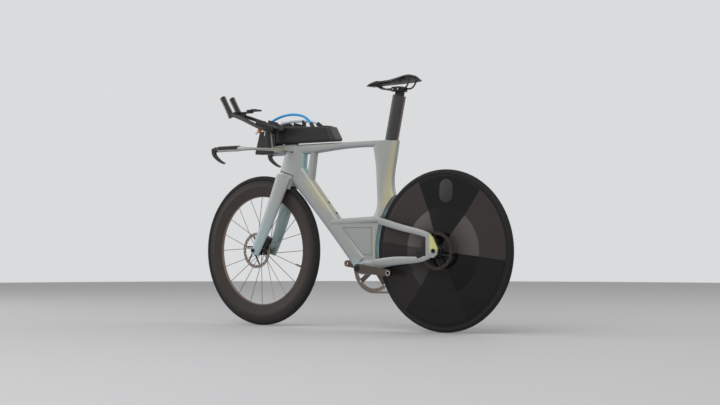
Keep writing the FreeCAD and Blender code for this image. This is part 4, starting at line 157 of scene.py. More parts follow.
class BikeStudio(bpy.types.PropertyGroup):
    """Camera, floor and light."""

    lens: FloatProperty(
        name="Lens", description="Focal length of the camera", default=75.88, unit="CAMERA"
    )
    eye: FloatVectorProperty(
        name="Camera place", description="Where the camera stands",
        default=(-4.12498, 5.15613, 0.35807), subtype="TRANSLATION", unit="LENGTH",
    )
    aim: FloatVectorProperty(
        name="Camera aim", description="The point that the camera looks at",
        default=(-0.124, 0.081, 0.544), subtype="TRANSLATION", unit="LENGTH",
    )
    floor_radius: length("Floor radius", "Radius of the round floor", 9.0)
    floor_colour: colour("Floor colour", "Colour of the floor", (0.66, 0.66, 0.67))
    sky_colour: colour("Background colour", "Colour behind the bike", (0.70, 0.71, 0.72))
    sky_light: FloatProperty(
        name="Room light", description="Strength of the even light from all sides", default=0.40, min=0.0
    )
    lamp_power: FloatProperty(
        name="Lamp power", description="Power of the main soft lamp",
        default=105.0, min=0.0, subtype="POWER",
    )


class BikeColours(bpy.types.PropertyGroup):
    """Colours of the finishes."""

    silver: colour("Silver paint", "The paint on faces that look sideways", (0.355, 0.365, 0.352))
    ice: colour("Ice paint", "The paint on faces that look forwards", (0.36, 0.555, 0.60))
    # Painted light: a lightened copy of the ice paint for the shaded hollow at the disc
    lit_ice: colour("Bright ice paint", "The paint of the hollow at the disc", (0.50, 0.74, 0.80))
    # Pale paint: a pearl tint that also stands for painted light on faces that look up
    pale: colour("Pale paint", "The paint on faces that look up", (0.52, 0.53, 0.50))
    gold: colour("Gold paint", "The paint along the seat tube", (0.56, 0.495, 0.245))
    lime: colour("Dropout paint", "The paint on the rear dropouts", (0.66, 0.64, 0.25))
    # Lilac paint: a pearl tint that also stands for painted shade on faces that look down
    lilac: colour("Lilac paint", "The paint on faces that look down", (0.27, 0.31, 0.39))
    teal: colour("Teal paint", "The paint on faces that look inwards", (0.31, 0.445, 0.425))
    # Painted shade: darkens the paint in the storage cover's gap
    shade: colour("Seam shade", "The dark lines of the seams", (0.085, 0.088, 0.092))
    carbon: colour("Bare carbon", "Satin carbon of the cockpit", (0.0115, 0.0105, 0.010))
    # Painted sheen: the lighter colour of the storage box's rear faces and rear edge
    box_tail_sheen: colour("Box tail", "The lighter tail of the storage box", (0.085, 0.074, 0.068))
    nose: colour("Nose carbon", "Brownish satin of the nose tank", (0.021, 0.0178, 0.0162))
    post: colour("Post carbon", "Carbon on the seatpost's sides", (0.030, 0.0275, 0.0268))
    # Painted highlight along the seatpost's two edges
    post_edge_highlight: colour("Post edges", "The seatpost's rubbed edges", (0.175, 0.142, 0.128))
    rim: colour("Rim carbon", "Satin carbon of the front rim", (0.040, 0.0305, 0.0258))
    rim_edge: colour("Rim edge", "The rim's dark edge beside the tyre", (0.017, 0.0145, 0.013))
    # Painted highlight along the rim's inner edge at the spokes
    rim_inner_highlight: colour("Rim inner edge", "The rim's rubbed edge at the spokes", (0.225, 0.168, 0.132))
    disc: colour("Disc carbon", "Gloss carbon of the rear disc", (0.0045, 0.0045, 0.0046))
    # Painted sheen: the lighter tone of the disc's sheen sectors
    disc_sheen: colour("Disc sectors", "The disc's lighter sectors", (0.047, 0.040, 0.037))
    # Painted highlight: the sheen sectors lightened further toward the edge of the dome
    dome_highlight: colour("Dome sectors", "The same sectors at the edge of its dome", (0.118, 0.104, 0.098))
    disc_edge: colour("Disc edge", "The disc's plain edge beside the tyre", (0.014, 0.0135, 0.013))
    patch: colour("Valve patch", "Film over the disc's valve opening", (0.030, 0.0275, 0.027))
    tyre: colour("Tyre rubber", "Rubber of both tyres", (0.0165, 0.0152, 0.0145))
    grip: colour("Grip rubber", "Rubber of the grips", (0.016, 0.0155, 0.015))
    # Painted highlights along the hand grips' edges
    grip_edge_highlight: colour("Grip ribs", "Bright ribs of the hand grips", (0.34, 0.295, 0.27))
    foam: colour("Pad cloth", "Cloth over the foam pads", (0.020, 0.0195, 0.019))
    saddle: colour("Saddle cover", "Synthetic leather of the saddle", (0.0145, 0.0138, 0.0135))
    crank: colour("Crank alloy", "Anodised alloy of the cranks", (0.118, 0.093, 0.079))
    black_alloy: colour("Black alloy", "Anodised alloy of the hubs and calipers", (0.022, 0.021, 0.021))
    machined: colour("Machined alloy", "Bare rear faces of the risers", (0.40, 0.355, 0.335))
    steel: colour("Steel", "Steel of the chain, cogs and front rotor", (0.235, 0.190, 0.162))
    # Painted shade: a darker copy of the rotor steel for the rear rotor
    rear_rotor: colour("Rear rotor", "Darker steel of the rear rotor", (0.060, 0.052, 0.047))
    spider: colour("Rotor spider", "Black alloy inside the rotors", (0.020, 0.0195, 0.019))
    bright_steel: colour("Bright steel", "Steel of bolts, pins and bearings", (0.62, 0.61, 0.60))
    rail: colour("Rail steel", "Dark steel of the rails and lock rings", (0.085, 0.080, 0.077))
    spoke: colour("Spoke steel", "Warm grey of the spokes", (0.285, 0.228, 0.192))
    blue_hose: colour("Drinking hose", "The blue hose", (0.012, 0.365, 0.84))
    white_hose: colour("Refill hose", "The milky hose", (0.78, 0.83, 0.90))
    collar: colour("Valve collar", "The orange collar of the bite valve", (0.84, 0.235, 0.010))
    red_ring: colour("Crank ring", "The red ring at the right pedal thread", (0.42, 0.012, 0.014))


class BikeTrim(bpy.types.PropertyGroup):
    """Sizes of the small pieces that the solids leave out."""

    drink_radius: length("Drinking hose radius", "Radius of the blue hose", 0.0055)
    refill_radius: length("Refill hose radius", "Radius of the white hose", 0.0065)
    voxel: length("Pad voxel", "Voxel of the remeshed pads", 0.004)
    pad_shrink: length("Pad shrink", "How far a pad is drawn in before it swells", 0.0016)
    pad_swell: length("Pad swell", "How far a pad may swell", 0.003)
    channel_depth: length("Saddle channel", "Depth of the channel along the saddle", 0.0045)
    channel_half: length("Saddle channel half", "Half the width of the saddle's channel", 0.011)
    patch_width: length("Patch width", "Width of the valve patch on the disc", 0.066)
    patch_height: length("Patch height", "Height of the valve patch on the disc", 0.098)
    ring_bolts: IntProperty(name="Chainring bolts", description="Bolts of the chainring", default=4, min=3)


class BikeSettings(bpy.types.PropertyGroup):
    """All settings of the bike."""

    studio: PointerProperty(type=BikeStudio, name="Studio", description="Camera, floor and light")
    colours: PointerProperty(type=BikeColours, name="Colours", description="Colours of the finishes")
    trim: PointerProperty(type=BikeTrim, name="Trim", description="Sizes of the small pieces")


def settings():
    """The bike's settings in the open scene."""
    return bpy.context.scene.bike


def colours():
    """The bike's colours in the open scene."""
    return settings().colours


# Finishes


class Wire:
    """A socket's value in a finish, which takes part in plain arithmetic."""

    def __init__(self, finish, socket):
        self.finish = finish
        self.socket = socket

    def math(self, operation, *others):
        """A Math node of this value and others."""
        values = {number: value for number, value in enumerate((self, *others))}
        return self.finish.add("ShaderNodeMath", 0, {"operation": operation}, values)

    def flipped(self, operation, first):
        """A Math node with this value second."""
        return self.finish.add("ShaderNodeMath", 0, {"operation": operation}, {0: first, 1: self})

    def __add__(self, other):
        return self.math("ADD", other)

    def __radd__(self, other):
        return self.flipped("ADD", other)

    def __sub__(self, other):
        return self.math("SUBTRACT", other)

    def __rsub__(self, other):
        return self.flipped("SUBTRACT", other)

    def __mul__(self, other):
        return self.math("MULTIPLY", other)

    def __rmul__(self, other):
        return self.flipped("MULTIPLY", other)

    def __truediv__(self, other):
        return self.math("DIVIDE", other)

    def __rtruediv__(self, other):
        return self.flipped("DIVIDE", other)

    def __neg__(self):
        return self.flipped("SUBTRACT", 0.0)

    def __pow__(self, other):
        return self.math("POWER", other)

    def step(self, low, high):
        """0 below low, 1 above high, and a smooth rise between."""
        span = {"From Min": low, "From Max": high, "Value": self}
        return self.finish.add("ShaderNodeMapRange", 0, {"interpolation_type": "SMOOTHSTEP"}, span)

    def band(self, low, high, soft):
        """1 between low and high, falling off over soft."""
        return self.step(low - soft, low + soft) * (1.0 - self.step(high - soft, high + soft))


class Finish:
    """A material of nodes that ends in one principled shader."""

    def __init__(self, name, fixed):
        self.material = bpy.data.materials.new(name)
        self.material.use_nodes = True
        self.tree = self.material.node_tree
        self.tree.nodes.clear()
        self.shader = self.tree.nodes.new("ShaderNodeBsdfPrincipled")
        self.end = self.tree.nodes.new("ShaderNodeOutputMaterial")
        self.tree.links.new(self.shader.outputs["BSDF"], self.end.inputs["Surface"])
        for socket, value in fixed.items():
            self.set(socket, value)

    def give(self, socket, value):
        """Links a wire to a socket, or writes a plain value there."""
        if isinstance(value, Wire):
            self.tree.links.new(value.socket, socket)
        elif socket.type == "RGBA" and len(value) == 3:
            socket.default_value = (*value, 1.0)
        else:
            socket.default_value = value

    def set(self, socket, value):
        """Gives one of the shader's own sockets its value."""
        self.give(self.shader.inputs[socket], value)

    def add(self, kind, output, choices=None, values=None):
        """Adds any node: its choices first, then its sockets. Returns one output as a wire."""
        node = self.tree.nodes.new(kind)
        for choice, value in (choices or {}).items():
            setattr(node, choice, value)
        for socket, value in (values or {}).items():
            self.give(node.inputs[socket], value)
        return Wire(self, node.outputs[output])

    def place(self):
        """A point of the surface in the bike's own frame."""
        return self.add("ShaderNodeTexCoord", "Object")

    def scaled(self, vector, scale, move=(0.0, 0.0, 0.0)):
        """A vector stretched and moved."""
        values = {"Vector": vector, "Location": move, "Scale": scale}
        return self.add("ShaderNodeMapping", 0, {"vector_type": "POINT"}, values)

    def parts(self, vector):
        """The three parts of a vector."""
        first = self.add("ShaderNodeSeparateXYZ", 0, None, {0: vector})
        outputs = first.socket.node.outputs
        return [Wire(self, outputs[number]) for number in range(3)]

    def noise(self, vector, scale, detail=2.0, roughness=0.5):
        """Cloudy noise, about 0 to 1."""
        values = {"Vector": vector, "Scale": scale, "Detail": detail, "Roughness": roughness}
        return self.add("ShaderNodeTexNoise", 0, None, values)

    def cells(self, vector, scale):
        """Small round cells: how far a point lies from the middle of its cell."""
        return self.add("ShaderNodeTexVoronoi", "Distance", None, {"Vector": vector, "Scale": scale})

    def mix(self, share, first, second):
        """A colour between two colours."""
        return self.add("ShaderNodeMix", 2, {"data_type": "RGBA"}, {0: share, 6: first, 7: second})

    def tint(self, colour_value, share):
        """A colour made brighter or darker by a wire."""
        grey = self.add("ShaderNodeCombineColor", 0, None, {0: share, 1: share, 2: share})
        choice = {"data_type": "RGBA", "blend_type": "MULTIPLY"}
        return self.add("ShaderNodeMix", 2, choice, {0: 1.0, 6: colour_value, 7: grey})

    def bump(self, height, distance, strength=1.0):
        """Raises the surface by a height."""
        values = {"Height": height, "Distance": distance, "Strength": strength}
        self.set("Normal", self.add("ShaderNodeBump", 0, None, values))

    def reach(self, spot, origin, direction):
        """How far a point lies from an origin along a direction in the bike's plane."""
        x, _, z = spot
        return (x - origin.x) * direction.x + (z - origin.z) * direction.z

    def facing(self):
        """How far a face looks ahead, to the left and up."""
        return self.parts(self.add("ShaderNodeTexCoord", "Normal"))

    def polar(self, centre):
        """Radius and angle round a wheel's axle."""
        moved = self.scaled(self.place(), (1.0, 1.0, 1.0), tuple(-part for part in centre))
        x, y, z = self.parts(moved)
        radius = (x * x + z * z) ** 0.5
        return radius, z.math("ARCTAN2", x), y


def pearl_tones(finish):
    """Pearl silver that runs to ice blue, gold, lilac and teal, with painted light and shade: pale tops,
    lilac undersides, a lightened hollow and dark painted shadow lines. Returns its colour and roughness.
    """
    tones = colours()
    place = finish.place()
    x, y, z = spot = finish.parts(place)
    ahead, left, up = finish.facing()
    behind = -ahead
    drift = (finish.noise(place, 7.0, 3.0) - 0.5) * 0.35
    paint = finish.mix((ahead + up * 0.3 + drift).step(0.25, 0.95), tones.silver, tones.ice)
    # Faces that look up go pale: pearl tint with painted light from above
    paint = finish.mix((up + drift * 0.5).step(0.55, 0.95) * 0.7, paint, tones.pale)
    # Faces that look down go lilac: pearl tint with painted shade on the undersides
    paint = finish.mix((drift * 0.5 - up).step(0.2, 0.9) * 0.8, paint, tones.lilac)
    over_tube = finish.reach(spot, DOWN_TUBE, DOWN_TUBE_UP)
    upper_face = over_tube.band(*UPPER_FACE) * z.band(*UPPER_FACE_HEIGHT)
    paint = finish.mix(upper_face * 0.4, paint, tones.gold)
    under_tube = over_tube.step(*UNDER_TUBE_LOW) * (1.0 - over_tube.step(*UNDER_TUBE_HIGH))
    under_tube = under_tube * x.step(*UNDER_TUBE_REAR) * (1.0 - x.step(*UNDER_TUBE_FRONT))
    paint = finish.mix(under_tube * 0.55, paint, tones.lilac)
    seat_edge = (finish.reach(spot, SEAT_TOP, SEAT_BACK) + drift * 0.04).step(*SEAT_EDGE)
    seat_edge = seat_edge * z.step(*SEAT_EDGE_HEIGHT) * (1.0 - x.step(*SEAT_EDGE_FRONT))
    paint = finish.mix(seat_edge * (1.0 - behind.step(0.45, 0.85)) * 0.6, paint, tones.gold)
    shell_foot = (1.0 - (z + drift * 0.05).step(*SHELL_FOOT_HEIGHT)) * x.band(*SHELL_FOOT_LENGTH)
    paint = finish.mix(shell_foot * 0.85, paint, tones.ice)
    fork_foot = x.step(*FORK_REAR) * (1.0 - z.step(*FORK_FOOT_HEIGHT))
    paint = finish.mix(fork_foot * 0.5, paint, tones.ice)
    dropout = (1.0 - x.step(*DROPOUT_FRONT)) * (z + drift * 0.03).step(*DROPOUT_HEIGHT)
    paint = finish.mix(dropout, paint, tones.lime)
    # The hollow at the disc: its pearl ice tint, painted lighter against the shade that falls there
    from_axle = ((x - REAR_AXLE.x) ** 2.0 + (z - REAR_AXLE.z) ** 2.0) ** 0.5
    hollow = from_axle.band(*HOLLOW_RADIUS) * behind.step(0.1, 0.4)
    paint = finish.mix(hollow * (1.0 - z.step(*HOLLOW_TOP)), paint, tones.lit_ice)
    inner = (-(y * left)).step(*INNER_SIDE) * (1.0 - z.step(*INNER_TOP))
    paint = finish.mix(inner * 0.7, paint, tones.teal)
    slot = x.band(*SLOT_LENGTH) * z.band(*SLOT_HEIGHT) * behind.step(0.3, 0.6)
    paint = finish.mix(slot, paint, tones.teal)
    # Painted shadow: a dark line where the fork's crown meets the head tube
    crown_shadow = finish.reach(spot, STEER_FOOT, STEER_UP).band(*CROWN_SHADOW_LINE) * x.step(*CROWN_REAR)
    paint = finish.mix(crown_shadow, paint, tones.grip)
    cover = (COVER_TOP - z).math("MINIMUM", z - COVER_FOOT).math("MINIMUM", x - COVER_TAIL)
    cover = cover.math("MINIMUM", finish.reach(spot, COVER_NOSE, DOWN_TUBE_UP))
    outer_side = y.step(*OUTER_SIDE)
    # Painted shade: dark in the storage cover's gap, and a darker lilac line just inside it for the shade
    # of the cover's bevel
    paint = finish.mix(cover.band(*COVER_GAP_SHADE) * outer_side * 0.75, paint, tones.shade)
    paint = finish.mix(cover.band(*COVER_BEVEL_SHADE) * outer_side * 0.6, paint, tones.lilac)
    rear_line = x.band(*REAR_LINE) * z.band(*REAR_LINE_HEIGHT) * outer_side
    paint = finish.mix(rear_line * 0.8, paint, tones.gold)
    flake = finish.add("ShaderNodeTexWhiteNoise", 0, None, {0: finish.scaled(place, (FLAKE_SCALE,) * 3)})
    rough = flake * 0.06 + (finish.noise(place, 16.0, 2.0) * 0.08 + 0.32)
    return finish.tint(paint, flake * 0.08 + 0.96), rough


def pearl_paint():
    """The pearl paint of the frame, the fork and the stem."""
    finish = Finish("pearl_paint", {"Coat Weight": 0.45, "Coat Roughness": 0.24, "Metallic": 0.25})
    paint, rough = pearl_tones(finish)
    finish.set("Base Color", paint)
    finish.set("Roughness", rough)
    return finish


def bar_paint():
    """The bar's pale pearl wing, golden at its root, with black lever holders at its tips."""
    finish = Finish("bar_paint", {"Coat Roughness": 0.2})
    paint, rough = pearl_tones(finish)
    x = finish.parts(finish.place())[0]
    ahead = finish.facing()[0]
    root = (1.0 - x.step(*BAR_ROOT)) * (1.0 - ahead.step(-0.4, 0.2))
    paint = finish.mix(0.55, paint, colours().pale)
    paint = finish.mix(root * 0.45, paint, colours().gold)
    holder = x.step(*BAR_HOLDER)
    finish.set("Base Color", finish.mix(holder, paint, colours().grip))
    finish.set("Metallic", 0.25 - holder * 0.25)
    finish.set("Roughness", rough + holder * 0.2)
    finish.set("Coat Weight", 0.8 - holder * 0.75)
    return finish


def fibred(name, gloss, grain):
    """A satin finish raised by fibres along the grain. Returns it and the fibres."""
    finish = Finish(name, {"Coat Roughness": 0.22, "Specular IOR Level": 0.35, "Coat Weight": gloss})
    fibre = finish.noise(finish.scaled(finish.place(), grain), 1.0, 4.0, 0.62)
    finish.bump(fibre, 0.00006, 0.5)
    return finish, fibre


def bare_carbon(name, tone, rough, gloss, grain):
    """Satin carbon in one of the bike's colours, with its fibres lying along the grain."""
    finish, fibre = fibred(name, gloss, grain)
    cloud = finish.noise(finish.place(), 19.0, 3.0)
    finish.set("Base Color", finish.tint(getattr(colours(), tone), fibre * 0.9 + (cloud * 0.5 + 0.3)))
    finish.set("Roughness", fibre * 0.16 + (cloud * 0.14 + (rough - 0.15)))
    return finish


cockpit_carbon = partial(bare_carbon, "cockpit_carbon", "carbon", 0.42, 0.1, (26.0, 330.0, 330.0))
nose_carbon = partial(bare_carbon, "nose_carbon", "nose", 0.46, 0.05, (120.0, 120.0, 30.0))


def box_carbon():
    """The storage box's satin black, with a painted sheen on its rear faces and along its rear edge."""
    finish, _ = fibred("box_carbon", 0.08, (16.0, 90.0, 380.0))
    place = finish.place()
    spot = finish.parts(place)
    ahead = finish.facing()[0]
    # Painted sheen along the rear edge and on faces that look back
    tail_sheen = finish.reach(spot, BOX_TAIL, BOX_AHEAD).band(*BOX_SHEEN_BAND) * 0.5
    tail_sheen = tail_sheen + (-ahead).step(0.25, 0.75) * 0.55
    streak = finish.noise(finish.scaled(place, (9.0, 60.0, 420.0)), 1.0, 3.0)
    shade = finish.tint(colours().carbon, streak * 0.9 + 0.55)
    finish.set("Base Color", finish.mix(tail_sheen, shade, colours().box_tail_sheen))
    finish.set("Roughness", streak * 0.14 + (0.40 - tail_sheen * 0.12))
    return finish


def post_carbon():
    """The seatpost's carbon, its fibres running up it, with a painted highlight along its two edges."""
    fixed = {"Specular IOR Level": 0.4, "Coat Weight": 0.2, "Coat Roughness": 0.2}
    finish = Finish("post_carbon", fixed)
    place = finish.place()
    ahead = finish.facing()[0]
    fibre = finish.noise(finish.scaled(place, (420.0, 420.0, 22.0)), 1.0, 4.0, 0.62)
    # Painted highlight on the edges that look forwards and back
    edge = ahead.math("ABSOLUTE").step(0.45, 0.9)
    tone = finish.mix(edge, colours().post, colours().post_edge_highlight)
    finish.set("Base Color", finish.tint(tone, fibre * 0.8 + 0.55))
    finish.set("Roughness", fibre * 0.18 + 0.30)
    finish.bump(fibre, 0.00005, 0.4)
    return finish


def rim_carbon():
    """Brown satin carbon of the deep front rim, dark at its tyre edge, with a painted highlight along its
    inner edge.
    """
    fixed = {"Coat Roughness": 0.22, "Coat Weight": 0.12, "Specular IOR Level": 0.28}
    finish = Finish("rim_carbon", fixed)
    radius, angle, _ = finish.polar(FRONT_AXLE)
    marble = finish.noise(finish.place(), 46.0, 5.0, 0.62)
    around = finish.add("ShaderNodeCombineXYZ", 0, None, {0: angle * 30.0, 1: radius * 900.0})
    fibre = finish.noise(around, 1.0)
    edge = radius.step(*RIM_TYRE_EDGE)
    shade = finish.mix(edge, colours().rim, colours().rim_edge)
    # Painted highlight along the rim's inner edge
    inner = 1.0 - radius.step(*RIM_INNER_HIGHLIGHT)
    shade = finish.mix(inner, shade, colours().rim_inner_highlight)
    finish.set("Base Color", finish.tint(shade, marble * 0.55 + (fibre * 0.3 + 0.55)))
    finish.set("Roughness", marble * 0.16 + (edge * 0.10 + 0.30))
    finish.bump(marble, 0.00005, 0.4)
    return finish


def disc_carbon():
    """Gloss black carbon laid in six sectors, whose fibres catch the light in turn: that sheen is painted
    into the lighter sectors, with a painted highlight at the dome's edge.
    """
    fixed = {"Coat Roughness": 0.05, "Coat IOR": 1.3, "Specular IOR Level": 0.14}
    finish = Finish("disc_carbon", fixed)
    radius, angle, _ = finish.polar(REAR_AXLE)
    sector = ((DISC_SEAM - angle) / math.tau).math("FRACT") * DISC_SECTORS
    # Painted sheen: how much each sector is lightened
    light = sum(sector.band(first, first + 1.0, SECTOR_SOFT) * share for first, share in SECTOR_SHEEN)
    edge = radius.step(*DISC_TYRE_EDGE)
    around = finish.add("ShaderNodeCombineXYZ", 0, None, {0: angle * 340.0, 1: radius * 40.0})
    fibre = finish.noise(around, 1.0, 3.0)
    # Painted highlight rising toward the dome's edge
    dome = (1.0 - radius.step(*DOME_EDGE)) * radius.step(*DOME_RISE)
    sheen_tone = finish.mix(dome, colours().disc_sheen, colours().dome_highlight)
    tone = finish.mix(light, colours().disc, sheen_tone)
    tone = finish.mix(edge, tone, colours().disc_edge)
    finish.set("Base Color", finish.tint(tone, fibre * 0.5 + 0.72))
    finish.set("Roughness", light * 0.14 + (fibre * 0.10 + 0.20))
    finish.set("Coat Weight", 0.4 - light * 0.2)
    return finish


def tyre_rubber(name, axle):
    """Tyre rubber: a fine file tread in the middle, bare walls with a moulded line."""
    finish = Finish(name, {"IOR": 1.5, "Specular IOR Level": 0.22})
    radius, angle, y = finish.polar(axle)
    wide = y.math("ABSOLUTE")
    tread = 1.0 - wide.step(*TREAD_HALF)
    row = (angle * TREAD_ROWS + wide * TREAD_SLANT).math("SINE")
    dust = finish.noise(finish.place(), 90.0, 4.0)
    finish.set("Base Color", finish.tint(colours().tyre, dust * 0.5 + (tread * 0.25 + 0.68)))
    finish.set("Roughness", dust * 0.12 + (tread * 0.12 + 0.58))
    wall = (radius * WALL_LINES).math("SINE") * (1.0 - tread) * 0.25
    finish.bump(row * tread * 0.6 + wall, 0.00025, 0.8)
    return finish


front_tyre_rubber = partial(tyre_rubber, "front_tyre_rubber", FRONT_AXLE)
rear_tyre_rubber = partial(tyre_rubber, "rear_tyre_rubber", REAR_AXLE)


def grip_rubber():
    """Soft rubber with small round pips."""
    finish = Finish("grip_rubber", {"Specular IOR Level": 0.35})
    place = finish.place()
    pips = finish.cells(place, PIP_SCALE)
    wear = finish.noise(place, 38.0, 4.0)
    finish.set("Base Color", finish.tint(colours().grip, wear * 0.6 + 0.7))
    finish.set("Roughness", wear * 0.2 + (pips * 0.2 + 0.45))
    finish.bump(1.0 - pips, 0.0003, 0.6)
    return finish


def hand_rubber():
    """The hand grips' black rubber, with painted highlights along three edges: one behind and one on each
    side.
    """
    finish = Finish("hand_rubber", {"Specular IOR Level": 0.4})
    place = finish.place()
    spot = finish.parts(place)
    lead = finish.reach(spot, HAND_TOP, HAND_AHEAD)
    aside = (spot[1].math("ABSOLUTE") - HAND_ASIDE).math("ABSOLUTE")
    # Painted highlights: bright bands along the grip's rear and side edges
    rear_highlight = (1.0 - lead.step(*GRIP_REAR)) * (1.0 - aside.step(*GRIP_REAR_HIGHLIGHT))
    edge = lead.band(*GRIP_SIDE_HIGHLIGHT) + rear_highlight
    pips = finish.cells(place, PIP_SCALE)
    wear = finish.noise(place, 38.0, 4.0)
    tone = finish.mix(edge, colours().grip, colours().grip_edge_highlight)
    finish.set("Base Color", finish.tint(tone, wear * 0.5 + 0.75))
    finish.set("Roughness", wear * 0.2 + (0.5 - edge * 0.24))
    finish.bump((1.0 - pips) * (1.0 - edge), 0.0003, 0.6)
    return finish


def pad_cloth():
    """Close black weave over foam."""
    fixed = {"Sheen Weight": 0.25, "Sheen Roughness": 0.4, "Specular IOR Level": 0.25}
    finish = Finish("pad_cloth", fixed)
    x, y, z = finish.parts(finish.place())
    warp = (x * WEAVE_SCALE).math("SINE")
    weft = ((y + z) * WEAVE_SCALE).math("SINE")
    weave = warp * weft
    cloud = finish.noise(finish.place(), 30.0, 3.0)
    finish.set("Base Color", finish.tint(colours().foam, weave * 0.25 + (cloud * 0.5 + 0.8)))
    finish.set("Roughness", cloud * 0.1 + (weave * 0.05 + 0.78))
    finish.bump(weave, 0.00018, 0.7)
    return finish


def saddle_cover():
    """Smooth synthetic leather with a fine grain."""
    fixed = {"Specular IOR Level": 0.3, "Coat Weight": 0.05, "Coat Roughness": 0.35}
    finish = Finish("saddle_cover", fixed)
    place = finish.place()
    grain = finish.cells(place, LEATHER_SCALE)
    cloud = finish.noise(place, 26.0, 3.0)
    finish.set("Base Color", finish.tint(colours().saddle, grain * 0.4 + (cloud * 0.5 + 0.55)))
    finish.set("Roughness", grain * 0.12 + (cloud * 0.15 + 0.34))
    finish.bump(grain, 0.00012, 0.6)
    return finish


def brushed_metal(name, tone, rough, grain, metallic=1.0):
    """Metal in one of the bike's colours, with brush marks along the grain."""
    finish = Finish(name, {"Metallic": metallic})
    place = finish.place()
    brush = finish.noise(finish.scaled(place, grain), 1.0, 3.0)
    smear = finish.noise(place, 55.0, 3.0)
    finish.set("Base Color", finish.tint(getattr(colours(), tone), brush * 0.3 + (smear * 0.24 + 0.73)))
    finish.set("Roughness", brush * 0.14 + (smear * 0.16 + (rough - 0.15)))
    finish.bump(brush, 0.00003, 0.3)
    return finish


def riser_alloy():
    """The risers' black alloy, with bright machined rear faces."""
    finish = Finish("riser_alloy", {"Specular IOR Level": 0.4})
    place = finish.place()
    ahead = finish.facing()[0]
    brush = finish.noise(finish.scaled(place, (500.0, 500.0, 40.0)), 1.0, 3.0)
    bare = (-ahead).step(0.5, 0.85)
    tone = finish.mix(bare, colours().black_alloy, colours().machined)
    finish.set("Base Color", finish.tint(tone, brush * 0.4 + 0.8))
    finish.set("Metallic", bare * 0.5 + 0.4)
    finish.set("Roughness", brush * 0.16 + (0.42 - bare * 0.1))
    finish.bump(brush, 0.00004, 0.4)
    return finish


crank_alloy = partial(brushed_metal, "crank_alloy", "crank", 0.4, (60.0, 900.0, 900.0))
black_alloy = partial(brushed_metal, "black_alloy", "black_alloy", 0.42, (300.0, 300.0, 300.0), 0.6)
drive_steel = partial(brushed_metal, "drive_steel", "steel", 0.36, (240.0, 1200.0, 240.0))
bright_steel = partial(brushed_metal, "bright_steel", "bright_steel", 0.26, (200.0, 200.0, 200.0))
rail_steel = partial(brushed_metal, "rail_steel", "rail", 0.32, (60.0, 600.0, 600.0))
spoke_steel = partial(brushed_metal, "spoke_steel", "spoke", 0.34, (300.0, 300.0, 300.0))


def rotor_steel(name, axle, tone):
    """A rotor: a ground steel band in one of the bike's colours round a black spider."""
    finish = Finish(name, {})
    radius, angle, _ = finish.polar(axle)
    band = radius.step(*ROTOR_BAND)
    around = finish.add("ShaderNodeCombineXYZ", 0, None, {0: radius * 5200.0, 1: angle * 3.0})
    ring = finish.noise(around, 1.0, 2.0)
    steel = finish.tint(getattr(colours(), tone), ring * 0.5 + 0.72)
    finish.set("Base Color", finish.mix(band, colours().spider, steel))
    finish.set("Metallic", band * 0.45 + 0.55)
    finish.set("Roughness", ring * 0.2 + (0.36 - band * 0.1))
    return finish


front_rotor_steel = partial(rotor_steel, "front_rotor_steel", FRONT_AXLE, "steel")
# The rear rotor takes the darker copy of the steel: painted shade
shaded_rear_rotor_steel = partial(rotor_steel, "shaded_rear_rotor_steel", REAR_AXLE, "rear_rotor")


def hose_plastic(name, tone, rough):
    """Soft plastic in one of the bike's colours, with faint draw marks."""
    finish = Finish(name, {"IOR": 1.45, "Coat Weight": 0.25, "Coat Roughness": 0.15})
    cloud = finish.noise(finish.scaled(finish.place(), (30.0, 160.0, 160.0)), 1.0, 3.0)
    finish.set("Base Color", finish.tint(getattr(colours(), tone), cloud * 0.25 + 0.87))
    finish.set("Roughness", cloud * 0.15 + rough)
    return finish


blue_plastic = partial(hose_plastic, "blue_plastic", "blue_hose", 0.24)
white_plastic = partial(hose_plastic, "white_plastic", "white_hose", 0.24)
orange_plastic = partial(hose_plastic, "orange_plastic", "collar", 0.3)
red_plastic = partial(hose_plastic, "red_plastic", "red_ring", 0.3)


def patch_film():
    """The matt film over the disc's valve opening."""
    finish = Finish("patch_film", {"Specular IOR Level": 0.4})
    cloud = finish.noise(finish.place(), 70.0, 4.0)
    finish.set("Base Color", finish.tint(colours().patch, cloud * 0.3 + 0.85))
    finish.set("Roughness", cloud * 0.2 + 0.42)
    return finish


FINISHES = {}


def finish_of(maker):
    """The material of a finish, made on first use."""
    if maker not in FINISHES:
        FINISHES[maker] = maker().material
    return FINISHES[maker]


def coat(maker, *nodes):
    """Gives nodes of the model a finish."""
    for name in nodes:
        mesh = NODES[name].data
        mesh.materials.clear()
        mesh.materials.append(finish_of(maker))


# Shapes

SAME_POINT = 2e-6
SAME_NODE_POINT = 2e-5
BOLT_SIDES = 18
BOLT_TAPER = 0.94
BOLT_RIM = 0.42
BOLT_SOCKET = 0.6
PAD_PRESSURE = 4.0
PAD_FRAMES = 20


def along(start, end):
    """The place of a shape whose own Z runs from start to end, with its middle between them."""
    start, end = Vector(start), Vector(end)
    turn = (end - start).to_track_quat("Z", "Y").to_matrix().to_4x4()
    return Matrix.Translation((start + end) / 2) @ turn


def rod(shape, start, end, radius, end_radius=None, sides=24):
    """A round bar between two points."""
    depth = (Vector(end) - Vector(start)).length
    last = radius if end_radius is None else end_radius
    return bmesh.ops.create_cone(
        shape, cap_ends=True, segments=sides, radius1=radius, radius2=last, depth=depth,
        matrix=along(start, end),
    )["verts"]


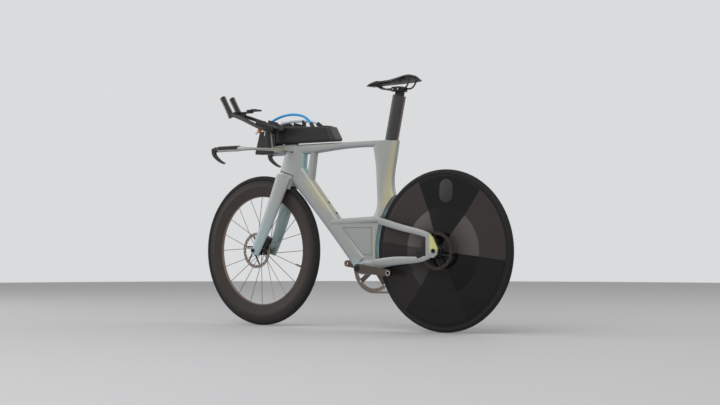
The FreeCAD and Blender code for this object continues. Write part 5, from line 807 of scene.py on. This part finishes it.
def turned(shape, profile, centre, axis, steps):
    """A ring: a closed profile of radius and height points, spun round an axis."""
    axis = Vector(axis).normalized()
    outward = axis.orthogonal().normalized()
    points = [shape.verts.new(Vector(centre) + outward * radius + axis * rise) for radius, rise in profile]
    lines = [shape.edges.new(pair) for pair in zip(points, points[1:] + points[:1])]
    bmesh.ops.spin(
        shape, geom=points + lines, cent=centre, axis=axis, dvec=(0, 0, 0),
        angle=math.tau, steps=steps, use_merge=True, use_duplicate=False,
    )


def bolt(shape, foot, axis, radius, height):
    """A bolt head with a sunk socket, standing on its foot."""
    foot, axis = Vector(foot), Vector(axis).normalized()
    new = rod(shape, foot, foot + axis * height, radius, radius * BOLT_TAPER, BOLT_SIDES)
    faces = {face for vert in new for face in vert.link_faces}
    top = max(faces, key=lambda face: face.calc_center_median().dot(axis) + (face.normal.dot(axis) > 0.9))
    bmesh.ops.inset_individual(shape, faces=[top], thickness=radius * BOLT_RIM)
    inner = bmesh.ops.extrude_discrete_faces(shape, faces=[top])["faces"]
    bmesh.ops.translate(shape, verts=inner[0].verts, vec=axis * -height * BOLT_SOCKET)


def finished(shape, name, body, maker, stands_for=()):
    """Turns a shape into a piece of the bike."""
    bmesh.ops.remove_doubles(shape, verts=shape.verts, dist=SAME_POINT)
    bmesh.ops.recalc_face_normals(shape, faces=shape.faces)
    mesh = bpy.data.meshes.new(name)
    shape.to_mesh(mesh)
    shape.free()
    mesh.shade_smooth()
    mesh.set_sharp_from_angle(angle=SHARP_EDGE)
    mesh.materials.append(finish_of(maker))
    piece = bpy.data.objects.new(name, mesh)
    bpy.context.scene.collection.objects.link(piece)
    return carried(piece, body, stands_for)


def carried(piece, body, stands_for=()):
    """Lets a piece ride on a body, and hides the nodes that it stands for."""
    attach(piece, body)
    if stands_for:
        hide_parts(*stands_for)
    return piece


def spot_ring(shape, centre, axis, inner, outer, height, steps=40):
    """A flat ring with a rounded outer edge, standing on its centre."""
    lip = min(height * 0.4, (outer - inner) * 0.3)
    profile = (
        (inner, 0.0), (outer, 0.0), (outer, height - lip), (outer - lip, height),
        (inner + lip * 0.5, height), (inner, height - lip * 0.5),
    )
    turned(shape, profile, centre, axis, steps)


def node_copy(node):
    """A node's mesh with its loose triangles joined, as a shape."""
    shape = bmesh.new()
    shape.from_mesh(NODES[node].data)
    bmesh.ops.remove_doubles(shape, verts=shape.verts, dist=SAME_NODE_POINT)
    return shape


def baked(piece):
    """Applies a piece's modifiers to its mesh."""
    bpy.context.view_layer.update()
    graph = bpy.context.evaluated_depsgraph_get()
    mesh = bpy.data.meshes.new_from_object(piece.evaluated_get(graph))
    piece.modifiers.clear()
    piece.data = mesh


def skinned(node, name):
    """A node's outer skin, drawn in a little, as an even net of small faces."""
    trim = settings().trim
    shape = node_copy(node)
    for vert, inward in [(vert, vert.normal * -trim.pad_shrink) for vert in shape.verts]:
        vert.co += inward
    mesh = bpy.data.meshes.new(name)
    shape.to_mesh(mesh)
    shape.free()
    piece = bpy.data.objects.new(name, mesh)
    bpy.context.scene.collection.objects.link(piece)
    net = piece.modifiers.new("net", "REMESH")
    net.mode = "VOXEL"
    net.voxel_size = trim.voxel
    baked(piece)
    return piece


def swollen(piece):
    """Blows a piece up as cloth, with no point moving further than the pad's swell."""
    limit = settings().trim.pad_swell
    start = [vert.co.copy() for vert in piece.data.vertices]
    cloth = piece.modifiers.new("cloth", "CLOTH")
    cloth.settings.use_pressure = True
    cloth.settings.uniform_pressure_force = PAD_PRESSURE
    cloth.settings.effector_weights.gravity = 0.0
    for step in range(1, PAD_FRAMES + 1):
        bpy.context.scene.frame_set(step)
    baked(piece)
    bpy.context.scene.frame_set(1)
    for vert, place in zip(piece.data.vertices, start):
        move = vert.co - place
        if move.length > limit:
            vert.co = place + move.normalized() * limit


def upholstered(piece, body, maker, node):
    """Finishes a pad: smooth skin, cloth and its place on the bike."""
    piece.data.shade_smooth()
    piece.data.materials.clear()
    piece.data.materials.append(finish_of(maker))
    smooth = piece.modifiers.new("smooth", "SUBSURF")
    smooth.levels = 1
    smooth.render_levels = 1
    carried(piece, body, (node,))


# Studio

FLOOR_SIDES = 64
SENSOR_WIDTH = 36.0
LAMP_AIM = Vector((0.0, 0.0, 0.55))

# Each lamp's name, place, size and share of the main lamp's power
LAMPS = (
    ("key_lamp", (-1.2, 4.2, 3.6), (5.2, 3.6), 1.0),
    ("front_lamp", (4.4, 1.6, 2.6), (3.6, 3.6), 0.55),
    ("back_lamp", (-3.6, -3.4, 3.4), (4.6, 3.2), 0.5),
)


def aimed(place, aim):
    """The turn of a lamp or a camera at a place that looks at a point."""
    return (Vector(aim) - Vector(place)).to_track_quat("-Z", "Y").to_euler()


def soft_lamp(name, place, size, power):
    """A soft oblong lamp that looks at the bike's middle."""
    light = bpy.data.lights.new(name, "AREA")
    light.shape = "RECTANGLE"
    light.size, light.size_y = size
    light.energy = power
    lamp = bpy.data.objects.new(name, light)
    lamp.location = place
    lamp.rotation_euler = aimed(place, LAMP_AIM)
    bpy.context.scene.collection.objects.link(lamp)


def floor_finish(tone):
    """A pale matt floor that can be looked through from below."""
    finish = Finish("studio_floor", {"Roughness": 0.7, "Specular IOR Level": 0.2})
    finish.set("Base Color", finish.tint(tone, finish.noise(finish.place(), 3.0) * 0.02 + 0.99))
    behind = finish.add("ShaderNodeNewGeometry", "Backfacing")
    clear = finish.add("ShaderNodeBsdfTransparent", 0)
    solid = Wire(finish, finish.shader.outputs["BSDF"])
    shown = finish.add("ShaderNodeMixShader", 0, None, {0: behind, 1: solid, 2: clear})
    finish.give(finish.end.inputs["Surface"], shown)
    return finish.material


def room_light(studio):
    """An even pale room, with a plain background for the camera and for gloss."""
    world = bpy.data.worlds.new("studio_room")
    world.use_nodes = True
    nodes, links = world.node_tree.nodes, world.node_tree.links
    nodes.clear()
    rays = nodes.new("ShaderNodeLightPath")
    seen, either = nodes.new("ShaderNodeMath"), nodes.new("ShaderNodeMath")
    seen.operation = "MAXIMUM"
    either.operation = "MAXIMUM"
    links.new(rays.outputs["Is Camera Ray"], seen.inputs[0])
    links.new(rays.outputs["Is Glossy Ray"], seen.inputs[1])
    links.new(seen.outputs[0], either.inputs[0])
    links.new(rays.outputs["Is Transmission Ray"], either.inputs[1])
    room, back = nodes.new("ShaderNodeBackground"), nodes.new("ShaderNodeBackground")
    room.inputs["Color"].default_value = (1.0, 1.0, 1.0, 1.0)
    room.inputs["Strength"].default_value = studio.sky_light
    back.inputs["Color"].default_value = (*studio.sky_colour, 1.0)
    both, end = nodes.new("ShaderNodeMixShader"), nodes.new("ShaderNodeOutputWorld")
    links.new(either.outputs[0], both.inputs[0])
    links.new(room.outputs[0], both.inputs[1])
    links.new(back.outputs[0], both.inputs[2])
    links.new(both.outputs[0], end.inputs["Surface"])
    bpy.context.scene.world = world


class BIKE_OT_stage(bpy.types.Operator):
    """Sets up the floor, the light and the camera"""

    bl_idname = "bike.stage"
    bl_label = "Studio"

    def execute(self, context):
        studio = settings().studio
        context.scene.view_settings.view_transform = "Standard"
        shape = bmesh.new()
        bmesh.ops.create_circle(shape, cap_ends=True, segments=FLOOR_SIDES, radius=studio.floor_radius)
        mesh = bpy.data.meshes.new("studio_floor")
        shape.to_mesh(mesh)
        shape.free()
        mesh.materials.append(floor_finish(studio.floor_colour))
        floor = bpy.data.objects.new("studio_floor", mesh)
        context.scene.collection.objects.link(floor)
        room_light(studio)
        for name, place, size, share in LAMPS:
            soft_lamp(name, place, size, studio.lamp_power * share)
        view = bpy.data.cameras.new("photo_camera")
        view.lens = studio.lens
        view.sensor_width = SENSOR_WIDTH
        camera = bpy.data.objects.new("photo_camera", view)
        camera.location = studio.eye
        camera.rotation_euler = aimed(studio.eye, studio.aim)
        context.scene.collection.objects.link(camera)
        context.scene.camera = camera
        return {"FINISHED"}


# Hoses

DRINK_ROUTE = (
    (0.196, 0.018, 0.893), (0.213, 0.018, 0.917), (0.246, 0.019, 0.937), (0.293, 0.022, 0.947),
    (0.345, 0.026, 0.945), (0.391, 0.030, 0.933), (0.430, 0.036, 0.914), (0.463, 0.044, 0.894),
    (0.483, 0.050, 0.879),
)
REFILL_ROUTE = (
    (0.180, -0.014, 0.895), (0.202, -0.014, 0.910), (0.244, -0.0145, 0.917), (0.300, -0.013, 0.919),
    (0.356, -0.0115, 0.9175), (0.406, -0.0105, 0.9105), (0.440, -0.010, 0.896),
)
HOSE_ROUNDNESS = 6
HOSE_STEPS = 10

# Half the collar's section: radius, and place along the hose from its tip
COLLAR_SECTION = (
    (0.0058, -0.010), (0.0086, -0.010), (0.0092, -0.008),
    (0.0092, 0.002), (0.0080, 0.004), (0.0058, 0.004),
)
COLLAR_STEPS = 32


def hose(name, route, radius, maker):
    """A smooth hose along a route."""
    line = bpy.data.curves.new(name, "CURVE")
    line.dimensions = "3D"
    line.bevel_depth = radius
    line.bevel_resolution = HOSE_ROUNDNESS
    line.use_fill_caps = True
    spline = line.splines.new("NURBS")
    spline.points.add(len(route) - 1)
    for point, place in zip(spline.points, route):
        point.co = (*place, 1.0)
    spline.order_u = 3
    spline.use_endpoint_u = True
    spline.resolution_u = HOSE_STEPS
    line.materials.append(finish_of(maker))
    piece = bpy.data.objects.new(name, line)
    bpy.context.scene.collection.objects.link(piece)
    return piece


class BIKE_OT_hoses(bpy.types.Operator):
    """Lays the drinking hose with its bite valve, and the refill hose"""

    bl_idname = "bike.hoses"
    bl_label = "Hoses"

    def execute(self, context):
        trim = settings().trim
        tip, before = Vector(DRINK_ROUTE[-1]), Vector(DRINK_ROUTE[-2])
        out = (tip - before).normalized()
        shape = bmesh.new()
        turned(shape, COLLAR_SECTION, tip, out, COLLAR_STEPS)
        collar = finished(shape, "bite_valve_collar", "steering", orange_plastic)
        coat(white_plastic, "bite_valve")
        blue = hose("drink_hose_line", DRINK_ROUTE, trim.drink_radius, blue_plastic)
        carried(blue, "steering", ("drink_hose",))
        white = hose("refill_hose_line", REFILL_ROUTE, trim.refill_radius, white_plastic)
        carried(white, "steering", ("refill_hose",))
        return {"FINISHED"}


# The bike's groups

BOSS_MIDDLE = Vector((0.08985, 0.0, 0.52668))
BOSS_ALONG = Vector((0.678, 0.0, 0.735))
BOSS_HALF = 0.032
PAD_FOOT = 0.0043
CHANNEL_BACK = 0.012
CHANNEL_SHARE = 0.36
CHANNEL_RUN_IN = 2.2
CHANNEL_FACING = 0.2
CLAMP_BOLT_INSET = 0.008
CLAMP_BOLT_DROP = 0.010
VALVE_ANGLE = math.radians(197.0)
VALVE_ROOT = 0.2445
VALVE_NUT_FOOT = 0.2405
VALVE_NUT_TOP = 0.2385
VALVE_NECK = 0.2200
VALVE_TIP = 0.2080
VALVE_RADIUS = 0.0030
VALVE_NUT_RADIUS = 0.0052
VALVE_CAP_RADIUS = 0.0036
VALVE_TIP_RADIUS = 0.0024
PATCH_MIDDLE = Vector((-0.5234, 0.0139, 0.5872))
PATCH_FILM = 0.0007
PATCH_EDGE = 0.0006
PATCH_SIDES = 56
PATCH_LEAN = math.radians(1.0)
PATCH_TURN = math.radians(-4.0)
LEFT_PEDAL = Vector((-0.26586, 0.0, 0.244821))
RIGHT_PEDAL = Vector((0.062018, 0.0, 0.282179))
PEDAL_FACE = 0.073
PEDAL_BACK = 0.060
RING_BOLT_TURN = math.radians(38.5)
RING_BOLT_RADIUS = 0.0929
SPIDER_THICKNESS = 0.006

# Rings: inner radius, outer radius and height
BOSS_RING = (0.0027, 0.0056, 0.0011)
LOCK_RING = (0.0176, 0.0224, 0.0026)
PEDAL_WASHER = (0.0074, 0.0106, 0.0009)
PEDAL_BACK_RING = (0.0074, 0.0092, 0.0014)
PEDAL_RED_RING = (0.0093, 0.0112, 0.0012)

# Bolt heads: radius and height
CLAMP_TOP_BOLT = (0.0042, 0.0036)
CLAMP_SIDE_BOLT = (0.0036, 0.0026)
RING_BOLT_OUTER = (0.0058, 0.0012)
RING_BOLT_INNER = (0.0050, 0.0010)

# Half the spindle cap's section: radius, and place across the bike
CAP_SECTION = (
    (0.0005, 0.0712), (0.0141, 0.0712), (0.0141, 0.0728), (0.0130, 0.0737),
    (0.0064, 0.0737), (0.0056, 0.0722), (0.0005, 0.0722),
)
CAP_STEPS = 40


class BIKE_OT_frame(bpy.types.Operator):
    """Paints the frame, the fork and the stem, and finishes their bearings, bolts and bosses"""

    bl_idname = "bike.frame"
    bl_label = "Frame and fork"

    def execute(self, context):
        coat(pearl_paint, "main_frame", "left_rear_stay", "right_rear_stay")
        coat(pearl_paint, "storage_cover", "fork", "stem")
        coat(bright_steel, "frame_bearings", "seat_clamp_bolts")
        coat(black_alloy, "seat_clamp_wedge", "rear_axle", "front_axle", "derailleur_hanger")
        shape = bmesh.new()
        for side in (-1, 1):
            boss = BOSS_MIDDLE + BOSS_ALONG * side * BOSS_HALF
            spot_ring(shape, boss, DOWN_TUBE_UP, *BOSS_RING, steps=28)
        finished(shape, "bottle_boss_rings", "frame", black_alloy)
        return {"FINISHED"}


class BIKE_OT_cockpit(bpy.types.Operator):
    """Finishes the bar, arm rests, extensions and tanks, and pads the arm rests"""

    bl_idname = "bike.cockpit"
    bl_label = "Cockpit"

    def execute(self, context):
        coat(bar_paint, "base_bar")
        coat(cockpit_carbon, "arm_cups", "extensions", "tank_cap", "computer_mount")
        coat(cockpit_carbon, "left_brake_lever", "right_brake_lever", "hose_fittings")
        coat(box_carbon, "storage_box")
        coat(nose_carbon, "nose_tank")
        coat(riser_alloy, "arm_risers")
        coat(hand_rubber, "extension_grips")
        coat(grip_rubber, "bar_grips", "left_shift_button", "right_shift_button")
        coat(bright_steel, "lever_pins", "riser_bolts")
        pads = skinned("arm_pads", "arm_rest_pads")
        swollen(pads)
        for vert in pads.data.vertices:
            low = (vert.co - CUP_REAR).dot(CUP_UP) - PAD_FOOT
            if low < 0.0:
                vert.co -= CUP_UP * low
        upholstered(pads, "steering", pad_cloth, "arm_pads")
        return {"FINISHED"}


class BIKE_OT_seat(bpy.types.Operator):
    """Finishes the seatpost, and covers the saddle"""

    bl_idname = "bike.seat"
    bl_label = "Seat"

    def execute(self, context):
        trim = settings().trim
        coat(post_carbon, "seatpost")
        coat(cockpit_carbon, "saddle_shell")
        coat(black_alloy, "saddle_clamp")
        coat(rail_steel, "saddle_rails")
        seat = skinned("saddle_pad", "saddle_cover")
        swollen(seat)
        low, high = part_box("saddle_pad")
        middle = (low[0] + high[0]) / 2 - CHANNEL_BACK
        half = (high[0] - low[0]) * CHANNEL_SHARE
        for vert in seat.data.vertices:
            if vert.normal.z < CHANNEL_FACING:
                continue
            across = max(0.0, 1.0 - (vert.co.y / trim.channel_half) ** 2)
            length_share = max(0.0, 1.0 - ((vert.co.x - middle) / half) ** 2)
            vert.co.z -= trim.channel_depth * across * min(1.0, length_share * CHANNEL_RUN_IN)
        upholstered(seat, "saddle", saddle_cover, "saddle_pad")
        shape = bmesh.new()
        clamp_low, clamp_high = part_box("saddle_clamp")
        ends = (clamp_low[0] + CLAMP_BOLT_INSET, clamp_high[0] - CLAMP_BOLT_INSET)
        for x in ends:
            bolt(shape, (x, 0.0, clamp_high[2]), (0, 0, 1), *CLAMP_TOP_BOLT)
        for side in (-1, 1):
            for x in ends:
                foot = (x, side * clamp_high[1], clamp_high[2] - CLAMP_BOLT_DROP)
                bolt(shape, foot, (0, side, 0), *CLAMP_SIDE_BOLT)
        finished(shape, "saddle_clamp_bolts", "saddle", bright_steel)
        return {"FINISHED"}


class BIKE_OT_wheels(bpy.types.Operator):
    """Finishes both wheels and their rotors, and adds the valve, the disc's patch and the lock rings"""

    bl_idname = "bike.wheels"
    bl_label = "Wheels"

    def execute(self, context):
        coat(front_tyre_rubber, "front_tyre")
        coat(rear_tyre_rubber, "rear_tyre")
        coat(rim_carbon, "front_rim")
        coat(disc_carbon, "rear_disc")
        coat(spoke_steel, "front_spokes")
        coat(black_alloy, "front_hub", "rear_hub")
        coat(front_rotor_steel, "front_rotor")
        coat(shaded_rear_rotor_steel, "rear_rotor")
        coat(black_alloy, "front_brake_caliper", "rear_brake_caliper")
        coat(drive_steel, "front_brake_pads", "rear_brake_pads")
        self.lock_ring("front_lock_ring", "front_wheel", "front_rotor", FRONT_AXLE)
        self.lock_ring("rear_lock_ring", "rear_wheel", "rear_rotor", REAR_AXLE)
        self.valve()
        self.patch()
        return {"FINISHED"}

    def lock_ring(self, name, body, rotor, axle):
        """The splined ring that holds a rotor on its hub."""
        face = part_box(rotor)[1][1]
        shape = bmesh.new()
        spot_ring(shape, axle + ACROSS * face, ACROSS, *LOCK_RING, steps=48)
        finished(shape, name, body, rail_steel)

    def valve(self):
        """The front wheel's valve, standing out of the rim towards the hub."""
        out = Vector((math.cos(VALVE_ANGLE), 0.0, math.sin(VALVE_ANGLE)))
        shape = bmesh.new()
        root, foot, top, neck, tip = (
            FRONT_AXLE + out * reach
            for reach in (VALVE_ROOT, VALVE_NUT_FOOT, VALVE_NUT_TOP, VALVE_NECK, VALVE_TIP)
        )
        rod(shape, root, neck, VALVE_RADIUS)
        rod(shape, foot, top, VALVE_NUT_RADIUS, sides=6)
        rod(shape, neck, tip, VALVE_CAP_RADIUS, VALVE_TIP_RADIUS)
        finished(shape, "front_valve", "front_wheel", drive_steel)

    def patch(self):
        """The film over the disc's valve opening: a pill that lies on the disc."""
        trim = settings().trim
        half = trim.patch_width / 2
        straight = (trim.patch_height - trim.patch_width) / 2
        shape = bmesh.new()
        bmesh.ops.create_circle(shape, cap_ends=True, segments=PATCH_SIDES, radius=half)
        for vert in shape.verts:
            vert.co.y += math.copysign(straight, vert.co.y) if abs(vert.co.y) > 1e-6 else 0.0
        film = bmesh.ops.extrude_face_region(shape, geom=shape.faces[:])["geom"]
        raised = [part for part in film if isinstance(part, bmesh.types.BMVert)]
        bmesh.ops.translate(shape, verts=raised, vec=(0, 0, PATCH_FILM))
        edges = [edge for edge in shape.edges if all(vert in raised for vert in edge.verts)]
        bmesh.ops.bevel(
            shape, geom=edges, offset=PATCH_EDGE, segments=2, profile=0.5, affect="EDGES", material=-1,
        )
        lean = Matrix.Rotation(math.radians(90.0) + PATCH_LEAN, 4, "X")
        turn = Matrix.Rotation(PATCH_TURN, 4, "Y")
        flip = Matrix.Rotation(math.pi, 4, "Z")
        place = Matrix.Translation(PATCH_MIDDLE) @ turn @ flip @ lean
        bmesh.ops.transform(shape, matrix=place, verts=shape.verts)
        finished(shape, "disc_valve_patch", "rear_wheel", patch_film)


class BIKE_OT_drive(bpy.types.Operator):
    """Finishes the cranks, the chain, the cogs and the derailleur, and adds caps, rings and bolts"""

    bl_idname = "bike.drive"
    bl_label = "Drive"

    def execute(self, context):
        coat(crank_alloy, "left_crank_arm", "right_crank_arm")
        coat(drive_steel, "chainring", "chain", "cassette")
        coat(black_alloy, "derailleur_body", "derailleur_cage", "guide_pulley", "tension_pulley")
        self.spindle_cap()
        self.pedal_rings()
        self.ring_bolts()
        return {"FINISHED"}

    def spindle_cap(self):
        """The cap in the left arm's eye."""
        shape = bmesh.new()
        turned(shape, CAP_SECTION, CRANK, ACROSS, CAP_STEPS)
        finished(shape, "crank_spindle_cap", "crank", black_alloy)

    def pedal_rings(self):
        """Thin washer faces round both pedal threads, and the red ring behind the right one."""
        shape = bmesh.new()
        right_back = RIGHT_PEDAL - ACROSS * PEDAL_BACK
        spot_ring(shape, LEFT_PEDAL + ACROSS * PEDAL_FACE, ACROSS, *PEDAL_WASHER)
        spot_ring(shape, RIGHT_PEDAL - ACROSS * PEDAL_FACE, -ACROSS, *PEDAL_WASHER)
        spot_ring(shape, right_back, ACROSS, *PEDAL_BACK_RING)
        finished(shape, "pedal_thread_rings", "crank", bright_steel)
        shape = bmesh.new()
        spot_ring(shape, right_back, ACROSS, *PEDAL_RED_RING)
        finished(shape, "right_pedal_ring", "crank", red_plastic)

    def ring_bolts(self):
        """The bolts that hold the chainring on its spider."""
        count = settings().trim.ring_bolts
        low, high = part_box("chainring")
        shape = bmesh.new()
        for number in range(count):
            turn = RING_BOLT_TURN + math.tau * number / count
            spot = CRANK + Vector((math.cos(turn), 0.0, -math.sin(turn))) * RING_BOLT_RADIUS
            bolt(shape, spot + ACROSS * (low[1] - SPIDER_THICKNESS), -ACROSS, *RING_BOLT_OUTER)
            bolt(shape, spot + ACROSS * high[1], ACROSS, *RING_BOLT_INNER)
        finished(shape, "chainring_bolts", "crank", bright_steel)


STEPS = ("stage", "hoses", "frame", "cockpit", "seat", "wheels", "drive")


class BIKE_PT_panel(bpy.types.Panel):
    """The bike's steps"""

    bl_idname = "BIKE_PT_panel"
    bl_label = "Time trial bike"
    bl_space_type = "VIEW_3D"
    bl_region_type = "UI"
    bl_category = "Bike"

    def draw(self, context):
        for step in STEPS:
            self.layout.operator(f"bike.{step}")


CLASSES = (
    BikeStudio, BikeColours, BikeTrim, BikeSettings,
    BIKE_OT_stage, BIKE_OT_hoses, BIKE_OT_frame, BIKE_OT_cockpit,
    BIKE_OT_seat, BIKE_OT_wheels, BIKE_OT_drive, BIKE_PT_panel,
)


def register():
    """Registers the classes and the settings."""
    for each in CLASSES:
        bpy.utils.register_class(each)
    bpy.types.Scene.bike = PointerProperty(
        type=BikeSettings, name="Bike", description="The bike's settings",
    )


def unregister():
    """Removes the settings and the classes."""
    del bpy.types.Scene.bike
    for each in reversed(CLASSES):
        bpy.utils.unregister_class(each)


def main():
    """Builds the bike."""
    register()
    for step in STEPS:
        getattr(bpy.ops.bike, step)()


if __name__ == "__main__":
    main()
